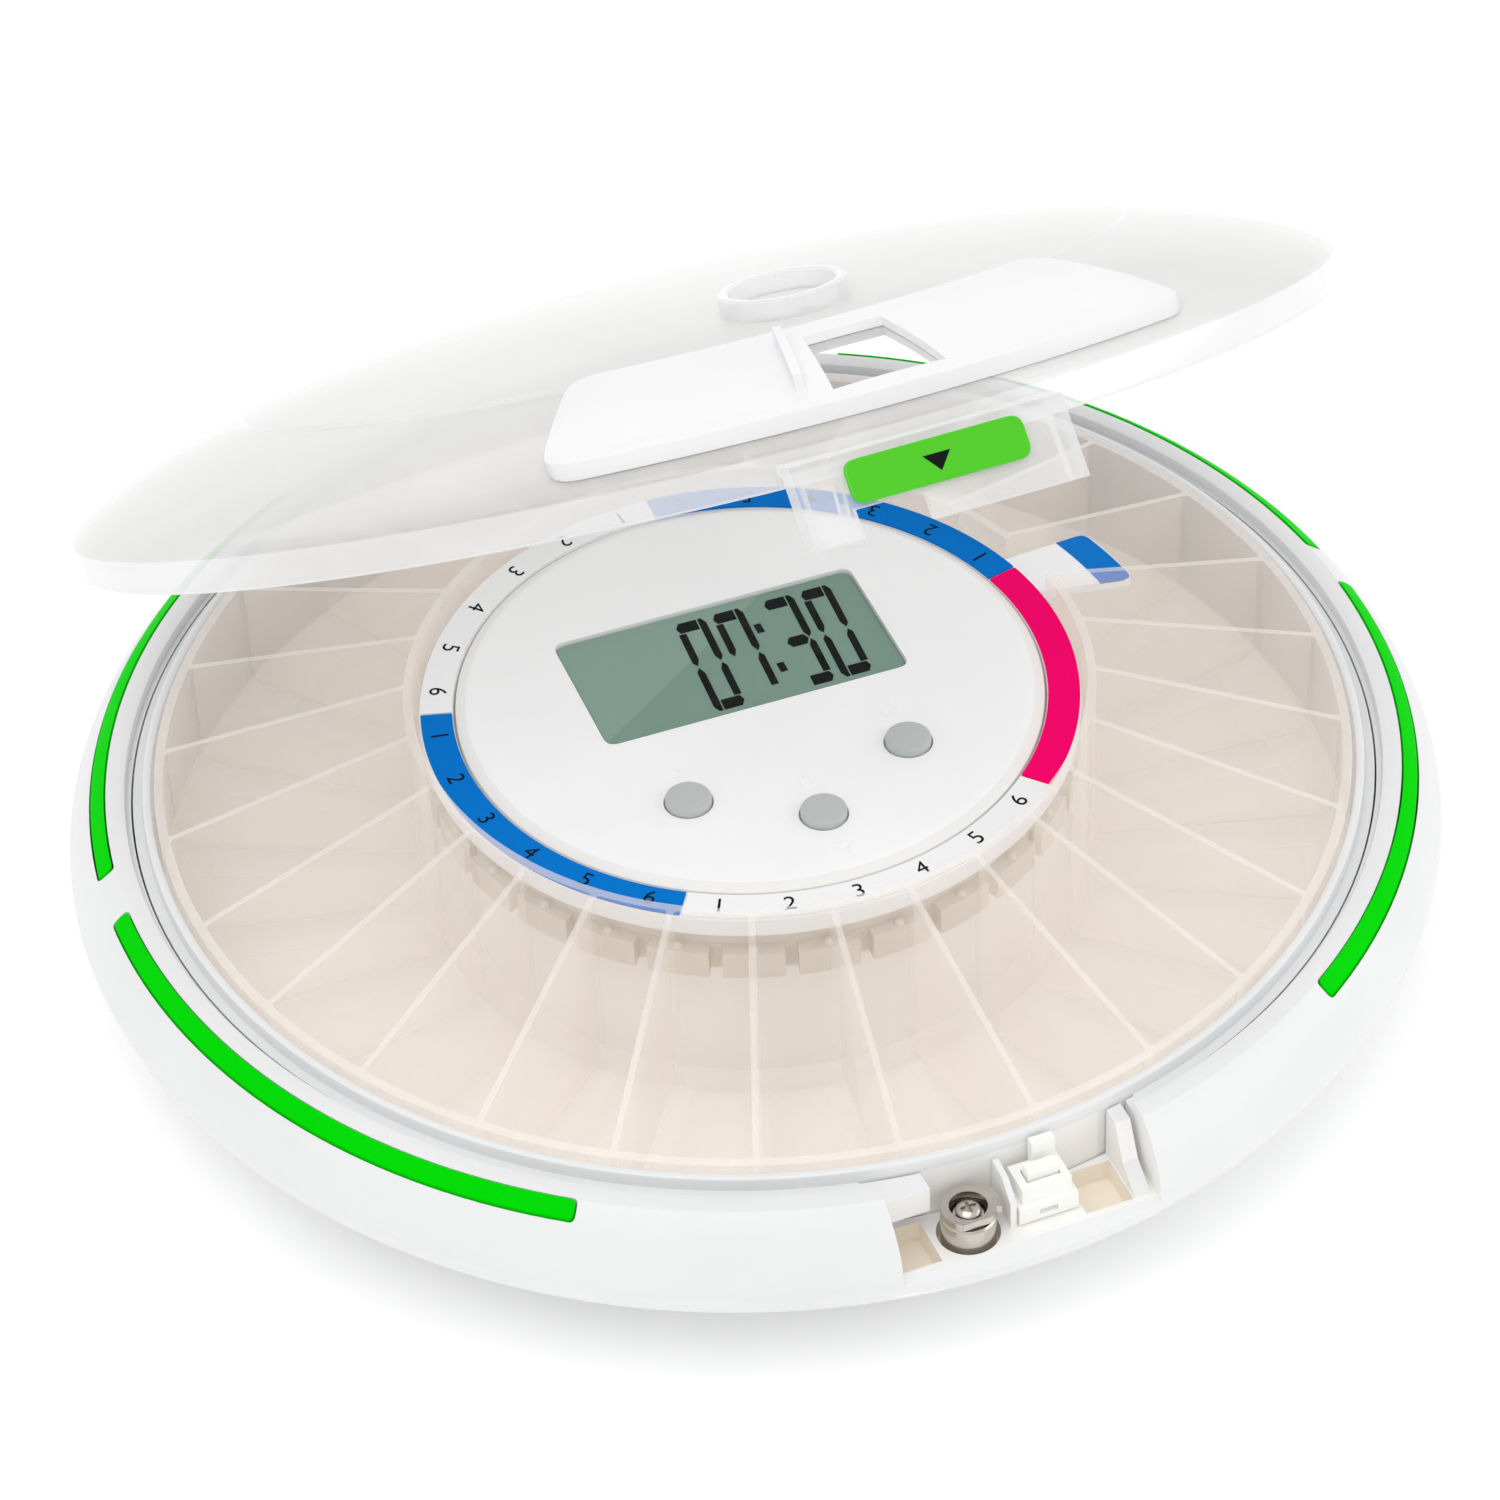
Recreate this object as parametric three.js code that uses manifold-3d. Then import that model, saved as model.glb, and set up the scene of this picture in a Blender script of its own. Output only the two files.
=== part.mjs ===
// Electronic pill box: a round body whose ring of pockets turns under a hinged clear lid.
// The origin is the middle of the footprint, the lock bay faces -Y and the lid hinge lies at +Y.

import * as THREE from 'three';
import { mergeVertices } from 'three/addons/utils/BufferGeometryUtils.js';
import Module from 'manifold-3d';

const wasm = await Module();
wasm.setup();

// General sizes, in millimetres and degrees
const degree = Math.PI / 180;
const turn = 360;
const clearance = 0.3;
const overrun = 5;
const pocketCount = 28;
const ringFacets = 40;
const trayFacets = 56;
const rodFacets = 16;
const pinFacets = 10;
const cornerSteps = 2;
const halfShare = 0.5;

// Body outline
const bodyRadius = 111.3;
const waistHeight = 22.2;
const shoulderRun = 20.3;
const shoulderRise = 15.1;
const shoulderInset = 6.8;
const shoulderCrown = 0.13;
const footInset = 23.3;
const groundGap = 0.8;
const flankDrops = [4.6, 13];
const flankSetback = 7.8;
const shellWall = 2.2;
const shoulderSteps = 4;
const flankSteps = 5;

// Groove that the lid closes over
const grooveInset = 10.1;
const grooveDepth = 1.9;
const seamStep = 0.8;
const lipThickness = 1.6;

// Base cover, ledge and feet
const coverThickness = 2.4;
const coverInset = 2.3;
const ledgeWidth = 2;
const ledgeThickness = 2.1;
const rubberRadius = 5;
const rubberHeight = 1.3;
const rubberRecess = 0.8;
const rubberInset = 11.7;
const quarterCount = 4;

// Housing screws
const screwInset = 7.7;
const screwHeadRadius = 2.7;
const screwHeadHeight = 1.1;
const screwHeadRecess = 1.6;
const screwShankRadius = 1.3;
const screwBossRadius = 3.5;
const screwRoof = 0.6;

// Tray well
const wellWall = 1.5;
const wellFloor = 1.6;
const wellInset = 12.8;
const wellLipRise = 2.293;
const wellSlopeRise = 5.3;
const wellSlopeRun = 8.5;
const towerStep = 2.1;
const towerWall = 1.6;
const deckBottom = 21.4;
const deckThickness = 1.6;
const columnRadius = 2.5;
const columnInset = 3.2;
const columnAngles = [55, 125, -12, 192];
const shelfDrop = 7.6;
const shelfThickness = 1.8;
const shelfInset = 4.3;

// Pill tray
const trayInset = 2.1;
const trayWall = 1.5;
const trayFloor = 1.4;
const trayGap = 0.4;
const trayRimRise = 0.8;
const trayInnerRadius = 54;
const trayInnerWall = 1.4;
const trayCrownRise = 13;
const dividerThickness = 1.2;
const pocketCorner = 2.4;
const trayTurn = -86.1;
const driveLugLength = 2.3;
const driveLugHeight = 3.1;

// Drive ring with an inner gear
const driveFlangeInset = 1;
const driveFlangeDrop = 15.6;
const driveFlangeHeight = 4.9;
const driveNeckInset = 2.5;
const driveNeckWall = 4;
const notchWidth = 1.9;
const notchDepth = 2.2;
const gearTeeth = 42;
const toothHeight = 2;
const toothTipShare = 0.22;
const toothRootShare = 0.46;
const gearBand = 1;

// Motor and pinion
const pinionTeeth = 6;
const pinionToothRise = 1.7;
const motorAngle = -60;
const motorRadius = 7.2;
const motorShaftRadius = 1;

// Dosage ring
const doseInnerStep = 1.1;
const doseTopDrop = 3.3;
const doseThickness = 1.6;
const doseRimDepth = 3.4;
const doseRimWall = 1.4;
const doseLabelThickness = 0.3;
const doseLabelMargin = 0.15;
const dosePinkSpan = [-49.2, 12.4];
const doseBlueSpans = [[12.4, 87], [161.8, 236.2]];
const doseWhiteSpans = [[87, 161.8], [236.2, 310.8]];
const doseTabLength = 17;
const doseTabDrop = 4.4;
const doseTabCorner = 1.5;
const doseTabPocket = 7;

// Console
const consoleTurn = -1.5;
const consoleTopDrop = 2.1;
const consoleGap = 0.4;
const consoleBevelRun = 2.2;
const consoleBevelDrop = 0.9;
const consoleEdge = 1.2;
const consolePlate = 2;
const skirtGap = 0.4;
const skirtWall = 1.5;
const skirtDepth = 6.4;

// Display
const windowWidth = 51.6;
const windowDepth = 27;
const windowOffset = 8.8;
const windowCorner = 1.6;
const lensRecess = 0.4;
const lensFlange = 1.4;
const lensFlangeThickness = 0.7;
const moduleMargin = 1;

// Circuit board and buzzer
const boardDrop = 6.5;
const boardThickness = 1.6;
const boardInset = 1.4;
const buzzerRadius = 6;
const buzzerHeight = 5;
const buzzerPlace = [-20, -18];

// Buttons
const buttonRadius = 3.65;
const buttonProud = 1.5;
const buttonDome = 0.35;
const buttonCollar = 1;
const buttonCollarHeight = 1.2;
const buttonStemRadius = 1.6;
const buttonLift = 1;
const buttonDomeShare = 0.6;
const buttonSideX = 18.5;
const buttonInset = 12.3;
const buttonStagger = 10.7;

// Light strips
const stripInset = 6.7;
const stripWidth = 2.3;
const stripProud = 0.25;
const stripCorner = 0.9;
const stripSpans = {
  front_right: [-55, 0],
  front_left: [180, 235],
  back_right: [5.9, 61],
  back_left: [119, 174.2],
};
const lightBoardThickness = 1.2;
const lightBoardStep = 2;
const lightBoardMargin = 7;

// Lid
const lidInset = 0.8;
const lidWall = 1.5;
const lidRimHeight = 5;
const domeHeight = 17.6;
const domePowers = [2.4, 1.39];
const lidFacets = 48;
const domeRadiusShares = [0, 0.4, 0.56, 0.695, 0.705, 0.82, 0.91, 0.965, 1];
const domeStepShare = 0.7;
const domeStep = 0.45;
const hingeStep = 1.2;
const hingeDrop = 1.25;
const lidOpenAngle = 32.2;

// Lid hinge
const hingeOffset = 15;
const hingeBarrelWidth = 5.4;
const hingeLugWidth = 3;
const hingeLugRadius = 2.1;
const hingePinRadius = 1;
const hingeArmHeight = 2.4;
const hingeArmRoot = 0.6;
const hingeSteps = 6;

// Ring on the lid
const bossInset = 17;
const bossRadius = 9.6;
const bossWall = 1.6;
const bossRise = 3;
const bossTilt = 8;

// White panel on the lid
const panelInset = 2.1;
const panelDepth = 27.3;
const panelHalfAngle = 30.3;
const panelThickness = 1.3;
const panelRim = 2.2;
const panelRimWidth = 2.4;
const panelCorner = 5;
const chuteInnerInset = 5;
const chuteOuterInset = 4.3;
const chuteInnerX = [-5.5, 6.5];
const chuteOuterX = [-8.4, 8.6];
const finThickness = 1.3;
const finHeight = 3.4;
const finX = [-8.6, -12.3];
const finInsets = [4, 6.6];

// Front tab of the lid
const tabHalfWidth = 20.4;
const tabPlateDrop = 1.5;
const tabPlateThickness = 1.5;
const tabInset = 3.1;
const tabLean = 4;
const tabRise = 3.7;
const tabWall = 1.7;
const tabRootInset = 2.9;
const cheekThickness = 1.8;
const cheekDepth = 2.8;
const tabNotch = [-13.2, -2.8];
const tabNotchHeight = 4;
const strikerX = [2.5, 6];
const strikerDepth = 2;
const catchX = [-14.6, -13.4];
const catchInset = 6.3;
const catchDepth = 1.8;
const catchRise = 2.4;
const catchFootReach = 2.1;
const catchFootHeight = 1.3;

// Green press label
const labelHalfWidth = 13.4;
const labelRise = 4.4;
const labelDrop = 1.2;
const labelThickness = 0.7;
const labelBevel = 0.35;
const labelCorner = 2;

// Lock bay
const bayHalfWidth = 20.9;
const bayWall = 1.5;
const bayFloorRise = 0.3;
const bayFloorThickness = 1.8;
const bayFrontStep = 0.3;
const bayChamferRun = 4;
const bayChamferDrop = 2.8;
const bayRibX = [-13.5, -12.5];
const bayRibDepth = 4;
const bayRibHeight = 2;
const partitionX = [-2, -1];
const partitionGap = 0.4;
const partitionDepth = 6.6;
const partitionHeight = 5.5;
const pocketWallX = [17.4, 19.9];
const pocketWallDepth = 4.7;
const pocketWallTopDepth = 1.7;
const pocketWallKnee = 3.7;

// Lock
const lockX = -8;
const lockInset = 5.1;
const barrelRadius = 4.2;
const barrelRise = 3.9;
const plugRadius = 2.4;
const plugLength = 12;
const keywayWidth = 1;
const keywayLength = 3.6;
const keywayDepth = 6;
const camThickness = 1.3;
const camReach = 5;
const camLugHalfAngle = 26;
const camScrewRadius = 2.6;
const camScrewHeight = 1.1;
const crossLength = 3.4;
const crossWidth = 0.8;
const crossDepth = 0.6;

// Push latch
const latchX = [-0.7, 8.9];
const latchGap = 0.7;
const latchDepth = 6.7;
const latchLowRise = 3.5;
const latchRise = 6.5;
const latchStep = 0.8;
const latchBackStep = 0.4;
const plungerX = [1.7, 6.6];
const plungerInset = 2.3;
const plungerDepth = 2.2;
const plungerProud = 1.5;
const plungerSink = 0.5;
const latchWellRise = 0.7;
const latchPostX = [3.7, 7.5];
const latchPostGap = 0.45;
const latchPostDepth = 1.55;
const latchPostRise = 4;
const latchSlotWidth = 3;
const latchSlotHeight = 1;
const latchSlotDepth = 1.2;

// Battery bay
const cellRadius = 7.1;
const cellCount = 4;
const cellLength = 49.5;
const cellNubLength = 1;
const cellNubRadius = 2.7;
const batteryWall = 1.4;
const cellSideGap = 0.75;
const contactRoom = 1.95;
const doorRebate = 1.5;
const doorThickness = 1.4;
const doorTongueHalfWidth = 6;
const doorTongueLength = 9;
const doorScrewInset = 4;
const doorScrewHead = 0.4;
const contactThickness = 0.4;
const contactHeight = 9;
const contactButtonRadius = 3;

// Radii and places, each set from its neighbour
const shoulderRadius = bodyRadius - shoulderInset;
const footRadius = bodyRadius - footInset;
const grooveRadius = bodyRadius - grooveInset;
const seamRadius = grooveRadius - seamStep;
const coverRadius = footRadius - coverInset;
const rubberOrbit = coverRadius - rubberInset;
const screwOrbit = coverRadius - screwInset;
const wellRadius = bodyRadius - wellInset;
const shelfRadius = bodyRadius - shelfInset;
const trayRadius = wellRadius - trayInset;
const driveFlangeRadius = trayInnerRadius - driveFlangeInset;
const driveNeckRadius = driveFlangeRadius - driveNeckInset;
const driveNeckInner = driveNeckRadius - driveNeckWall;
const towerRadius = driveNeckInner + towerStep;
const doseInner = driveNeckInner + doseInnerStep;
const doseOuter = driveFlangeRadius;
const doseTabReach = trayInnerRadius + doseTabLength;
const consoleRadius = doseInner - consoleGap;
const consoleFaceRadius = consoleRadius - consoleBevelRun;
const skirtRadius = driveNeckInner - skirtGap;
const boardRadius = skirtRadius - skirtWall - boardInset;
const columnOrbit = boardRadius - columnInset;
const buttonMiddleY = buttonInset - consoleFaceRadius;
const buttonSideY = buttonMiddleY + buttonStagger;
const cellPitch = cellRadius + cellRadius + clearance;
const batteryHalfX = cellPitch * (cellCount - 1) * halfShare + cellRadius + cellSideGap;
const batteryHalfY = (cellLength + cellNubLength) * halfShare + contactRoom;
const stripInner = bodyRadius - stripInset;
const lightBoardInner = stripInner - lightBoardStep;
const lidRadius = grooveRadius - lidInset;
const hingeY = grooveRadius + hingeStep;
const hingeArmY = lidRadius - lidWall - hingeArmRoot;
const panelOuter = lidRadius - panelInset;
const panelInner = panelOuter - panelDepth;
const bossY = bossInset - panelInner;
const chuteInnerY = -panelInner - chuteInnerInset;
const chuteOuterY = chuteOuterInset - panelOuter;
const finInner = [finX[0], -panelInner - finInsets[0]];
const finOuter = [finX[1], finInsets[1] - panelOuter];
const tabBottomY = tabInset - bodyRadius;
const tabTopY = tabBottomY + tabLean;
const tabRootY = tabRootInset - lidRadius;
const bayFrontY = tabBottomY - bayFrontStep;
const partitionY = inward(partitionGap, partitionDepth);
const pocketWallFrontY = -wellRadius - pocketWallDepth;
const pocketWallTopY = -wellRadius - pocketWallTopDepth;
const lockY = -wellRadius - lockInset;
const latchY = inward(latchGap, latchDepth);
const plungerY = [latchY[0] + plungerInset, latchY[0] + plungerInset + plungerDepth];
const latchPostY = inward(latchPostGap, latchPostDepth);
const strikerY = [plungerY[0], plungerY[0] + strikerDepth];
const catchY = inward(catchInset - catchDepth, catchDepth);
const catchFootTip = catchX[0] + catchFootReach;

// Heights, each set from its neighbour
const coverTop = groundGap + coverThickness;
const ledgeTop = coverTop + ledgeThickness;
const wellBottom = ledgeTop + clearance;
const wellFloorTop = wellBottom + wellFloor;
const trayBottom = wellFloorTop + trayGap;
const trayFloorTop = trayBottom + trayFloor;
const deckTop = deckBottom + deckThickness;
const grooveFloor = shoulderHeight(shoulderRadius) + shoulderCrown - grooveDepth;
const grooveUnderside = grooveFloor - lipThickness;
const wellLipHeight = grooveFloor + wellLipRise;
const shelfTop = wellLipHeight - shelfDrop;
const lightBoardBottom = shelfTop + clearance;
const lightBoardTop = lightBoardBottom + lightBoardThickness;
const trayRimHeight = wellLipHeight + trayRimRise;
const trayCrownHeight = wellLipHeight + trayCrownRise;
const driveFlangeBottom = trayCrownHeight - driveFlangeDrop;
const driveFlangeTop = driveFlangeBottom + driveFlangeHeight;
const towerHeight = driveFlangeBottom - clearance;
const doseTop = trayCrownHeight - doseTopDrop;
const doseUnderside = doseTop - doseThickness;
const consoleTop = trayCrownHeight - consoleTopDrop;
const consoleUnderside = consoleTop - consolePlate;
const skirtBottom = consoleTop - skirtDepth;
const boardTop = consoleTop - boardDrop;
const boardBottom = boardTop - boardThickness;
const lidRimBottom = wellLipHeight + clearance;
const lidRimTop = lidRimBottom + lidRimHeight;
const hingeZ = lidRimTop - hingeDrop;
const bayFloor = waistHeight + bayFloorRise;
const barrelTop = bayFloor + barrelRise;
const camBottom = barrelTop + clearance;
const camTop = camBottom + camThickness;
const latchLowTop = bayFloor + latchLowRise;
const latchTop = bayFloor + latchRise;
const latchWellBottom = bayFloor + latchWellRise;
const latchPostTop = latchTop + latchPostRise;
const plungerTop = latchTop + plungerProud;
const plungerBottom = latchLowTop - plungerSink;
const tabBottom = bayFloor + tabRise;
const tabPlateTop = lidRimTop - tabPlateDrop;
const catchBottom = bayFloor + catchRise;
const labelBottom = tabBottom + labelRise;
const labelTop = tabPlateTop - labelDrop;

// Angles and slopes
const pocketPitch = turn / pocketCount;
const wellSlope = Math.hypot(wellSlopeRise, wellSlopeRun);

// A span in Y in front of the well's wall, from its depth and its gap to the wall
function inward(gap, depth) {
  const back = -wellRadius - gap;
  return [back - depth, back];
}

// Shapes and solids

function polar(radius, angle) {
  return [radius * Math.cos(angle * degree), radius * Math.sin(angle * degree)];
}

function middle(pair) {
  return (pair[0] + pair[1]) * halfShare;
}

function toSolid(geometry) {
  const bare = geometry.clone();
  bare.deleteAttribute('normal');
  bare.deleteAttribute('uv');
  const merged = mergeVertices(bare);
  const vertProperties = merged.attributes.position.array;
  const triangles = [];
  const index = merged.index.array;
  let volume = 0;
  const corners = [new THREE.Vector3(), new THREE.Vector3(), new THREE.Vector3()];
  for (let start = 0; start < index.length; start += corners.length) {
    const [a, b, c] = index.slice(start, start + corners.length);
    if (a === b || b === c || c === a) {
      continue;
    }
    triangles.push(a, b, c);
    corners[0].fromBufferAttribute(merged.attributes.position, a);
    corners[1].fromBufferAttribute(merged.attributes.position, b);
    corners[2].fromBufferAttribute(merged.attributes.position, c);
    volume += corners[0].dot(corners[1].cross(corners[2]));
  }
  if (volume < 0) {
    triangles.reverse();
  }
  const triVerts = Uint32Array.from(triangles);
  return new wasm.Manifold(new wasm.Mesh({ numProp: 3, vertProperties, triVerts }));
}

function toGeometry(solid) {
  const mesh = solid.getMesh();
  const geometry = new THREE.BufferGeometry();
  geometry.setAttribute('position', new THREE.BufferAttribute(mesh.vertProperties, mesh.numProp));
  geometry.setIndex(new THREE.BufferAttribute(mesh.triVerts, 1));
  geometry.computeVertexNormals();
  return geometry;
}

// A profile of [radius, height] points turned about the Z axis
function revolve(profile, facets = ringFacets, place = [0, 0]) {
  const points = profile.map(([radius, height]) => new THREE.Vector2(radius, height));
  if (profile[0][0] > 0) {
    points.push(points[0].clone());
  }
  const geometry = new THREE.LatheGeometry(points, facets);
  geometry.rotateX(Math.PI * halfShare);
  geometry.translate(place[0], place[1], 0);
  return toSolid(geometry);
}

function outlineShape(points) {
  return new THREE.Shape(points.map(([x, y]) => new THREE.Vector2(x, y)));
}

// An outline in the XY plane raised from one height to another
function prism(points, bottom, top) {
  const options = { depth: top - bottom, bevelEnabled: false, steps: 1 };
  const geometry = new THREE.ExtrudeGeometry(outlineShape(points), options);
  geometry.translate(0, 0, bottom);
  return toSolid(geometry);
}

// An outline of [y, z] points stretched along X
function sideways(points, span) {
  const options = { depth: span[1] - span[0], bevelEnabled: false, steps: 1 };
  const geometry = new THREE.ExtrudeGeometry(outlineShape(points), options);
  geometry.rotateY(Math.PI * halfShare);
  geometry.rotateX(Math.PI * halfShare);
  geometry.translate(span[0], 0, 0);
  return toSolid(geometry);
}

function block(xSpan, ySpan, zSpan) {
  const geometry = new THREE.BoxGeometry(xSpan[1] - xSpan[0], ySpan[1] - ySpan[0], zSpan[1] - zSpan[0]);
  geometry.translate(middle(xSpan), middle(ySpan), middle(zSpan));
  return toSolid(geometry);
}

function rod(radius, bottom, top, place = [0, 0], facets = rodFacets) {
  const geometry = new THREE.CylinderGeometry(radius, radius, top - bottom, facets);
  geometry.rotateX(Math.PI * halfShare);
  geometry.translate(place[0], place[1], middle([bottom, top]));
  return toSolid(geometry);
}

// A rod along X
function crossRod(radius, xSpan, place) {
  const geometry = new THREE.CylinderGeometry(radius, radius, xSpan[1] - xSpan[0], rodFacets);
  geometry.rotateZ(Math.PI * halfShare);
  geometry.translate(middle(xSpan), place[0], place[1]);
  return toSolid(geometry);
}

function join(solids) {
  return solids.reduce((sum, solid) => sum.add(solid));
}

function cut(solid, cutters) {
  return cutters.reduce((rest, cutter) => rest.subtract(cutter), solid);
}

function circlePoints(radius, centre, facets = rodFacets) {
  const points = [];
  for (let step = 0; step < facets; step += 1) {
    const [x, y] = polar(radius, turn * step / facets);
    points.push([centre[0] + x, centre[1] + y]);
  }
  return points;
}

// Rounds a corner with a curve from one point to the next
function cornerCurve(from, corner, to) {
  const ends = [from, corner, to].map(([x, y]) => new THREE.Vector2(x, y));
  const curve = new THREE.QuadraticBezierCurve(...ends);
  return curve.getPoints(cornerSteps).map((point) => [point.x, point.y]);
}

// A ring sector whose straight sides stand in by sideInset, with rounded corners
function sectorOutline(inner, outer, span, corner, sideInset = 0) {
  const lean = (radius) => Math.asin(sideInset / radius) / degree;
  const bend = (radius) => corner / radius / degree;
  const at = (radius, side, extra = 0) => {
    const inward = lean(radius) + extra;
    return polar(radius, side === 0 ? span[0] + inward : span[1] - inward);
  };
  const points = [];
  points.push(...cornerCurve(at(outer - corner, 0), at(outer, 0), at(outer, 0, bend(outer))));
  points.push(...arcBetween(outer, span, lean(outer) + bend(outer)));
  points.push(...cornerCurve(at(outer, 1, bend(outer)), at(outer, 1), at(outer - corner, 1)));
  points.push(...cornerCurve(at(inner + corner, 1), at(inner, 1), at(inner, 1, bend(inner))));
  points.push(...arcBetween(inner, span, lean(inner) + bend(inner)).reverse());
  points.push(...cornerCurve(at(inner, 0, bend(inner)), at(inner, 0), at(inner + corner, 0)));
  return points;
}

// Points of an arc strictly between its trimmed ends
function arcBetween(radius, span, trim) {
  const start = span[0] + trim;
  const sweep = span[1] - span[0] - trim - trim;
  const steps = Math.max(1, Math.round(sweep * trayFacets / turn));
  const points = [];
  for (let step = 1; step < steps; step += 1) {
    points.push(polar(radius, start + sweep * step / steps));
  }
  return points;
}

function roundedRectangle(halfWidth, ySpan, corner) {
  const [bottom, top] = ySpan;
  const right = halfWidth;
  const left = -halfWidth;
  return [
    ...cornerCurve([right - corner, bottom], [right, bottom], [right, bottom + corner]),
    ...cornerCurve([right, top - corner], [right, top], [right - corner, top]),
    ...cornerCurve([left + corner, top], [left, top], [left, top - corner]),
    ...cornerCurve([left, bottom + corner], [left, bottom], [left + corner, bottom]),
  ];
}

// Moves a line of points to its right by a distance, keeping the count of points
function offsetLine(points, distance) {
  return points.map((point, place) => {
    const before = points[Math.max(place - 1, 0)];
    const after = points[Math.min(place + 1, points.length - 1)];
    const run = Math.hypot(after[0] - before[0], after[1] - before[1]);
    const along = [(after[0] - before[0]) / run, (after[1] - before[1]) / run];
    return [point[0] + along[1] * distance, point[1] - along[0] * distance];
  });
}

// Body curves

function shoulderHeight(radius) {
  const reach = (radius - bodyRadius + shoulderRun) / shoulderRun;
  return waistHeight + shoulderRise * Math.sqrt(1 - reach * reach);
}

function shoulderCurve() {
  const start = Math.acos((shoulderRadius - bodyRadius + shoulderRun) / shoulderRun);
  const points = [];
  for (let step = 0; step <= shoulderSteps; step += 1) {
    const angle = start * (1 - step / shoulderSteps);
    const reach = shoulderRun * Math.cos(angle);
    points.push([bodyRadius - shoulderRun + reach, waistHeight + shoulderRise * Math.sin(angle)]);
  }
  return points;
}

function flankCurve() {
  const curve = new THREE.CubicBezierCurve(
    new THREE.Vector2(bodyRadius, waistHeight),
    new THREE.Vector2(bodyRadius, waistHeight - flankDrops[0]),
    new THREE.Vector2(bodyRadius - flankSetback, waistHeight - flankDrops[1]),
    new THREE.Vector2(footRadius, groundGap),
  );
  return curve.getPoints(flankSteps).map((point) => [point.x, point.y]);
}

function bodyCurve() {
  return [...shoulderCurve(), ...flankCurve().slice(1)];
}

// The full volume inside the body's outer skin
function bodyVolume() {
  const shoulderTop = shoulderHeight(shoulderRadius) + shoulderCrown;
  return revolve([[0, shoulderTop], [grooveRadius, shoulderTop], ...bodyCurve(), [0, groundGap]]);
}

function turnedSpan(span) {
  return span.map((angle) => angle + consoleTurn);
}

// Lock bay, open to the front and the top

function baySideLine(xSpan) {
  return sideways([
    [-wellRadius + overrun, bayFloor],
    [bayFrontY, bayFloor],
    [bayFrontY - bayChamferRun, bayFloor - bayChamferDrop],
    [-bodyRadius - overrun, bayFloor - bayChamferDrop],
    [-bodyRadius - overrun, trayCrownHeight],
    [-wellRadius + overrun, trayCrownHeight],
  ], xSpan);
}

function wellCylinder(radius) {
  return revolve([[0, 0], [radius, 0], [radius, trayCrownHeight], [0, trayCrownHeight]]);
}

function bayMoulding() {
  const reach = bayHalfWidth + bayWall;
  const front = [-bodyRadius - overrun, -wellRadius + overrun];
  const box = block([-reach, reach], front, [bayFloor - bayFloorThickness, trayCrownHeight]);
  const grooveSpace = revolve([
    [0, grooveFloor], [grooveRadius, grooveFloor], [grooveRadius, trayCrownHeight], [0, trayCrownHeight],
  ]);
  const hollow = baySideLine([-bayHalfWidth, bayHalfWidth]);
  const walls = cut(box.intersect(bodyVolume()), [hollow, grooveSpace]);
  const base = bayFloor - bayFloorThickness * halfShare;
  const back = [-wellRadius, -wellRadius - bayRibDepth].reverse();
  const rib = block(bayRibX, back, [base, bayFloor + bayRibHeight]);
  const partition = block(partitionX, partitionY, [base, bayFloor + partitionHeight]);
  const pocketWall = sideways([
    [-wellRadius + overrun, base],
    [pocketWallFrontY, base],
    [pocketWallFrontY, bayFloor + pocketWallKnee],
    [pocketWallTopY, grooveFloor],
    [-wellRadius + overrun, grooveFloor],
  ], pocketWallX);
  const all = join([walls, rib, partition, pocketWall]);
  const holes = [wellCylinder(wellRadius + clearance)];
  return cut(all, holes);
}

function hingeLugOutline() {
  const points = [];
  for (let step = 0; step <= hingeSteps; step += 1) {
    const [y, z] = polar(hingeLugRadius, turn * halfShare * step / hingeSteps);
    points.push([hingeY + y, hingeZ + z]);
  }
  points.push([hingeY - hingeLugRadius, hingeZ - hingeLugRadius]);
  points.push([grooveRadius + clearance, hingeZ - hingeLugRadius - hingeLugRadius]);
  points.push([grooveRadius + clearance, grooveFloor - clearance]);
  points.push([hingeY + hingeLugRadius, grooveFloor - clearance]);
  return points;
}

function hingeLugs() {
  const lugs = [];
  const inner = hingeBarrelWidth * halfShare + clearance;
  for (const side of [-1, 1]) {
    for (const face of [-1, 1]) {
      const ends = [side * hingeOffset + face * inner, side * hingeOffset + face * (inner + hingeLugWidth)];
      lugs.push(sideways(hingeLugOutline(), ends.sort((a, b) => a - b)));
    }
  }
  return lugs;
}

function hingeHole(radius) {
  const reach = hingeOffset + hingeBarrelWidth + hingeLugWidth + overrun;
  return crossRod(radius, [-reach, reach], [hingeY, hingeZ]);
}

function lockHole(radius, bottom, top) {
  return rod(radius, bottom, top, [lockX, lockY]);
}

function stripOutline(name, margin) {
  const outer = stripInner + stripWidth + margin;
  const span = turnedSpan(stripSpans[name]);
  return sectorOutline(stripInner - margin, outer, span, stripCorner, -margin);
}

// The inner skin from the shoulder down to where it meets the ledge
function innerSkin() {
  const line = offsetLine(bodyCurve(), shellWall);
  const below = line.findIndex((point) => point[1] < ledgeTop);
  const [high, low] = [line[below - 1], line[below]];
  const share = (ledgeTop - low[1]) / (high[1] - low[1]);
  return [...line.slice(0, below), [low[0] + (high[0] - low[0]) * share, ledgeTop]];
}

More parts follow.
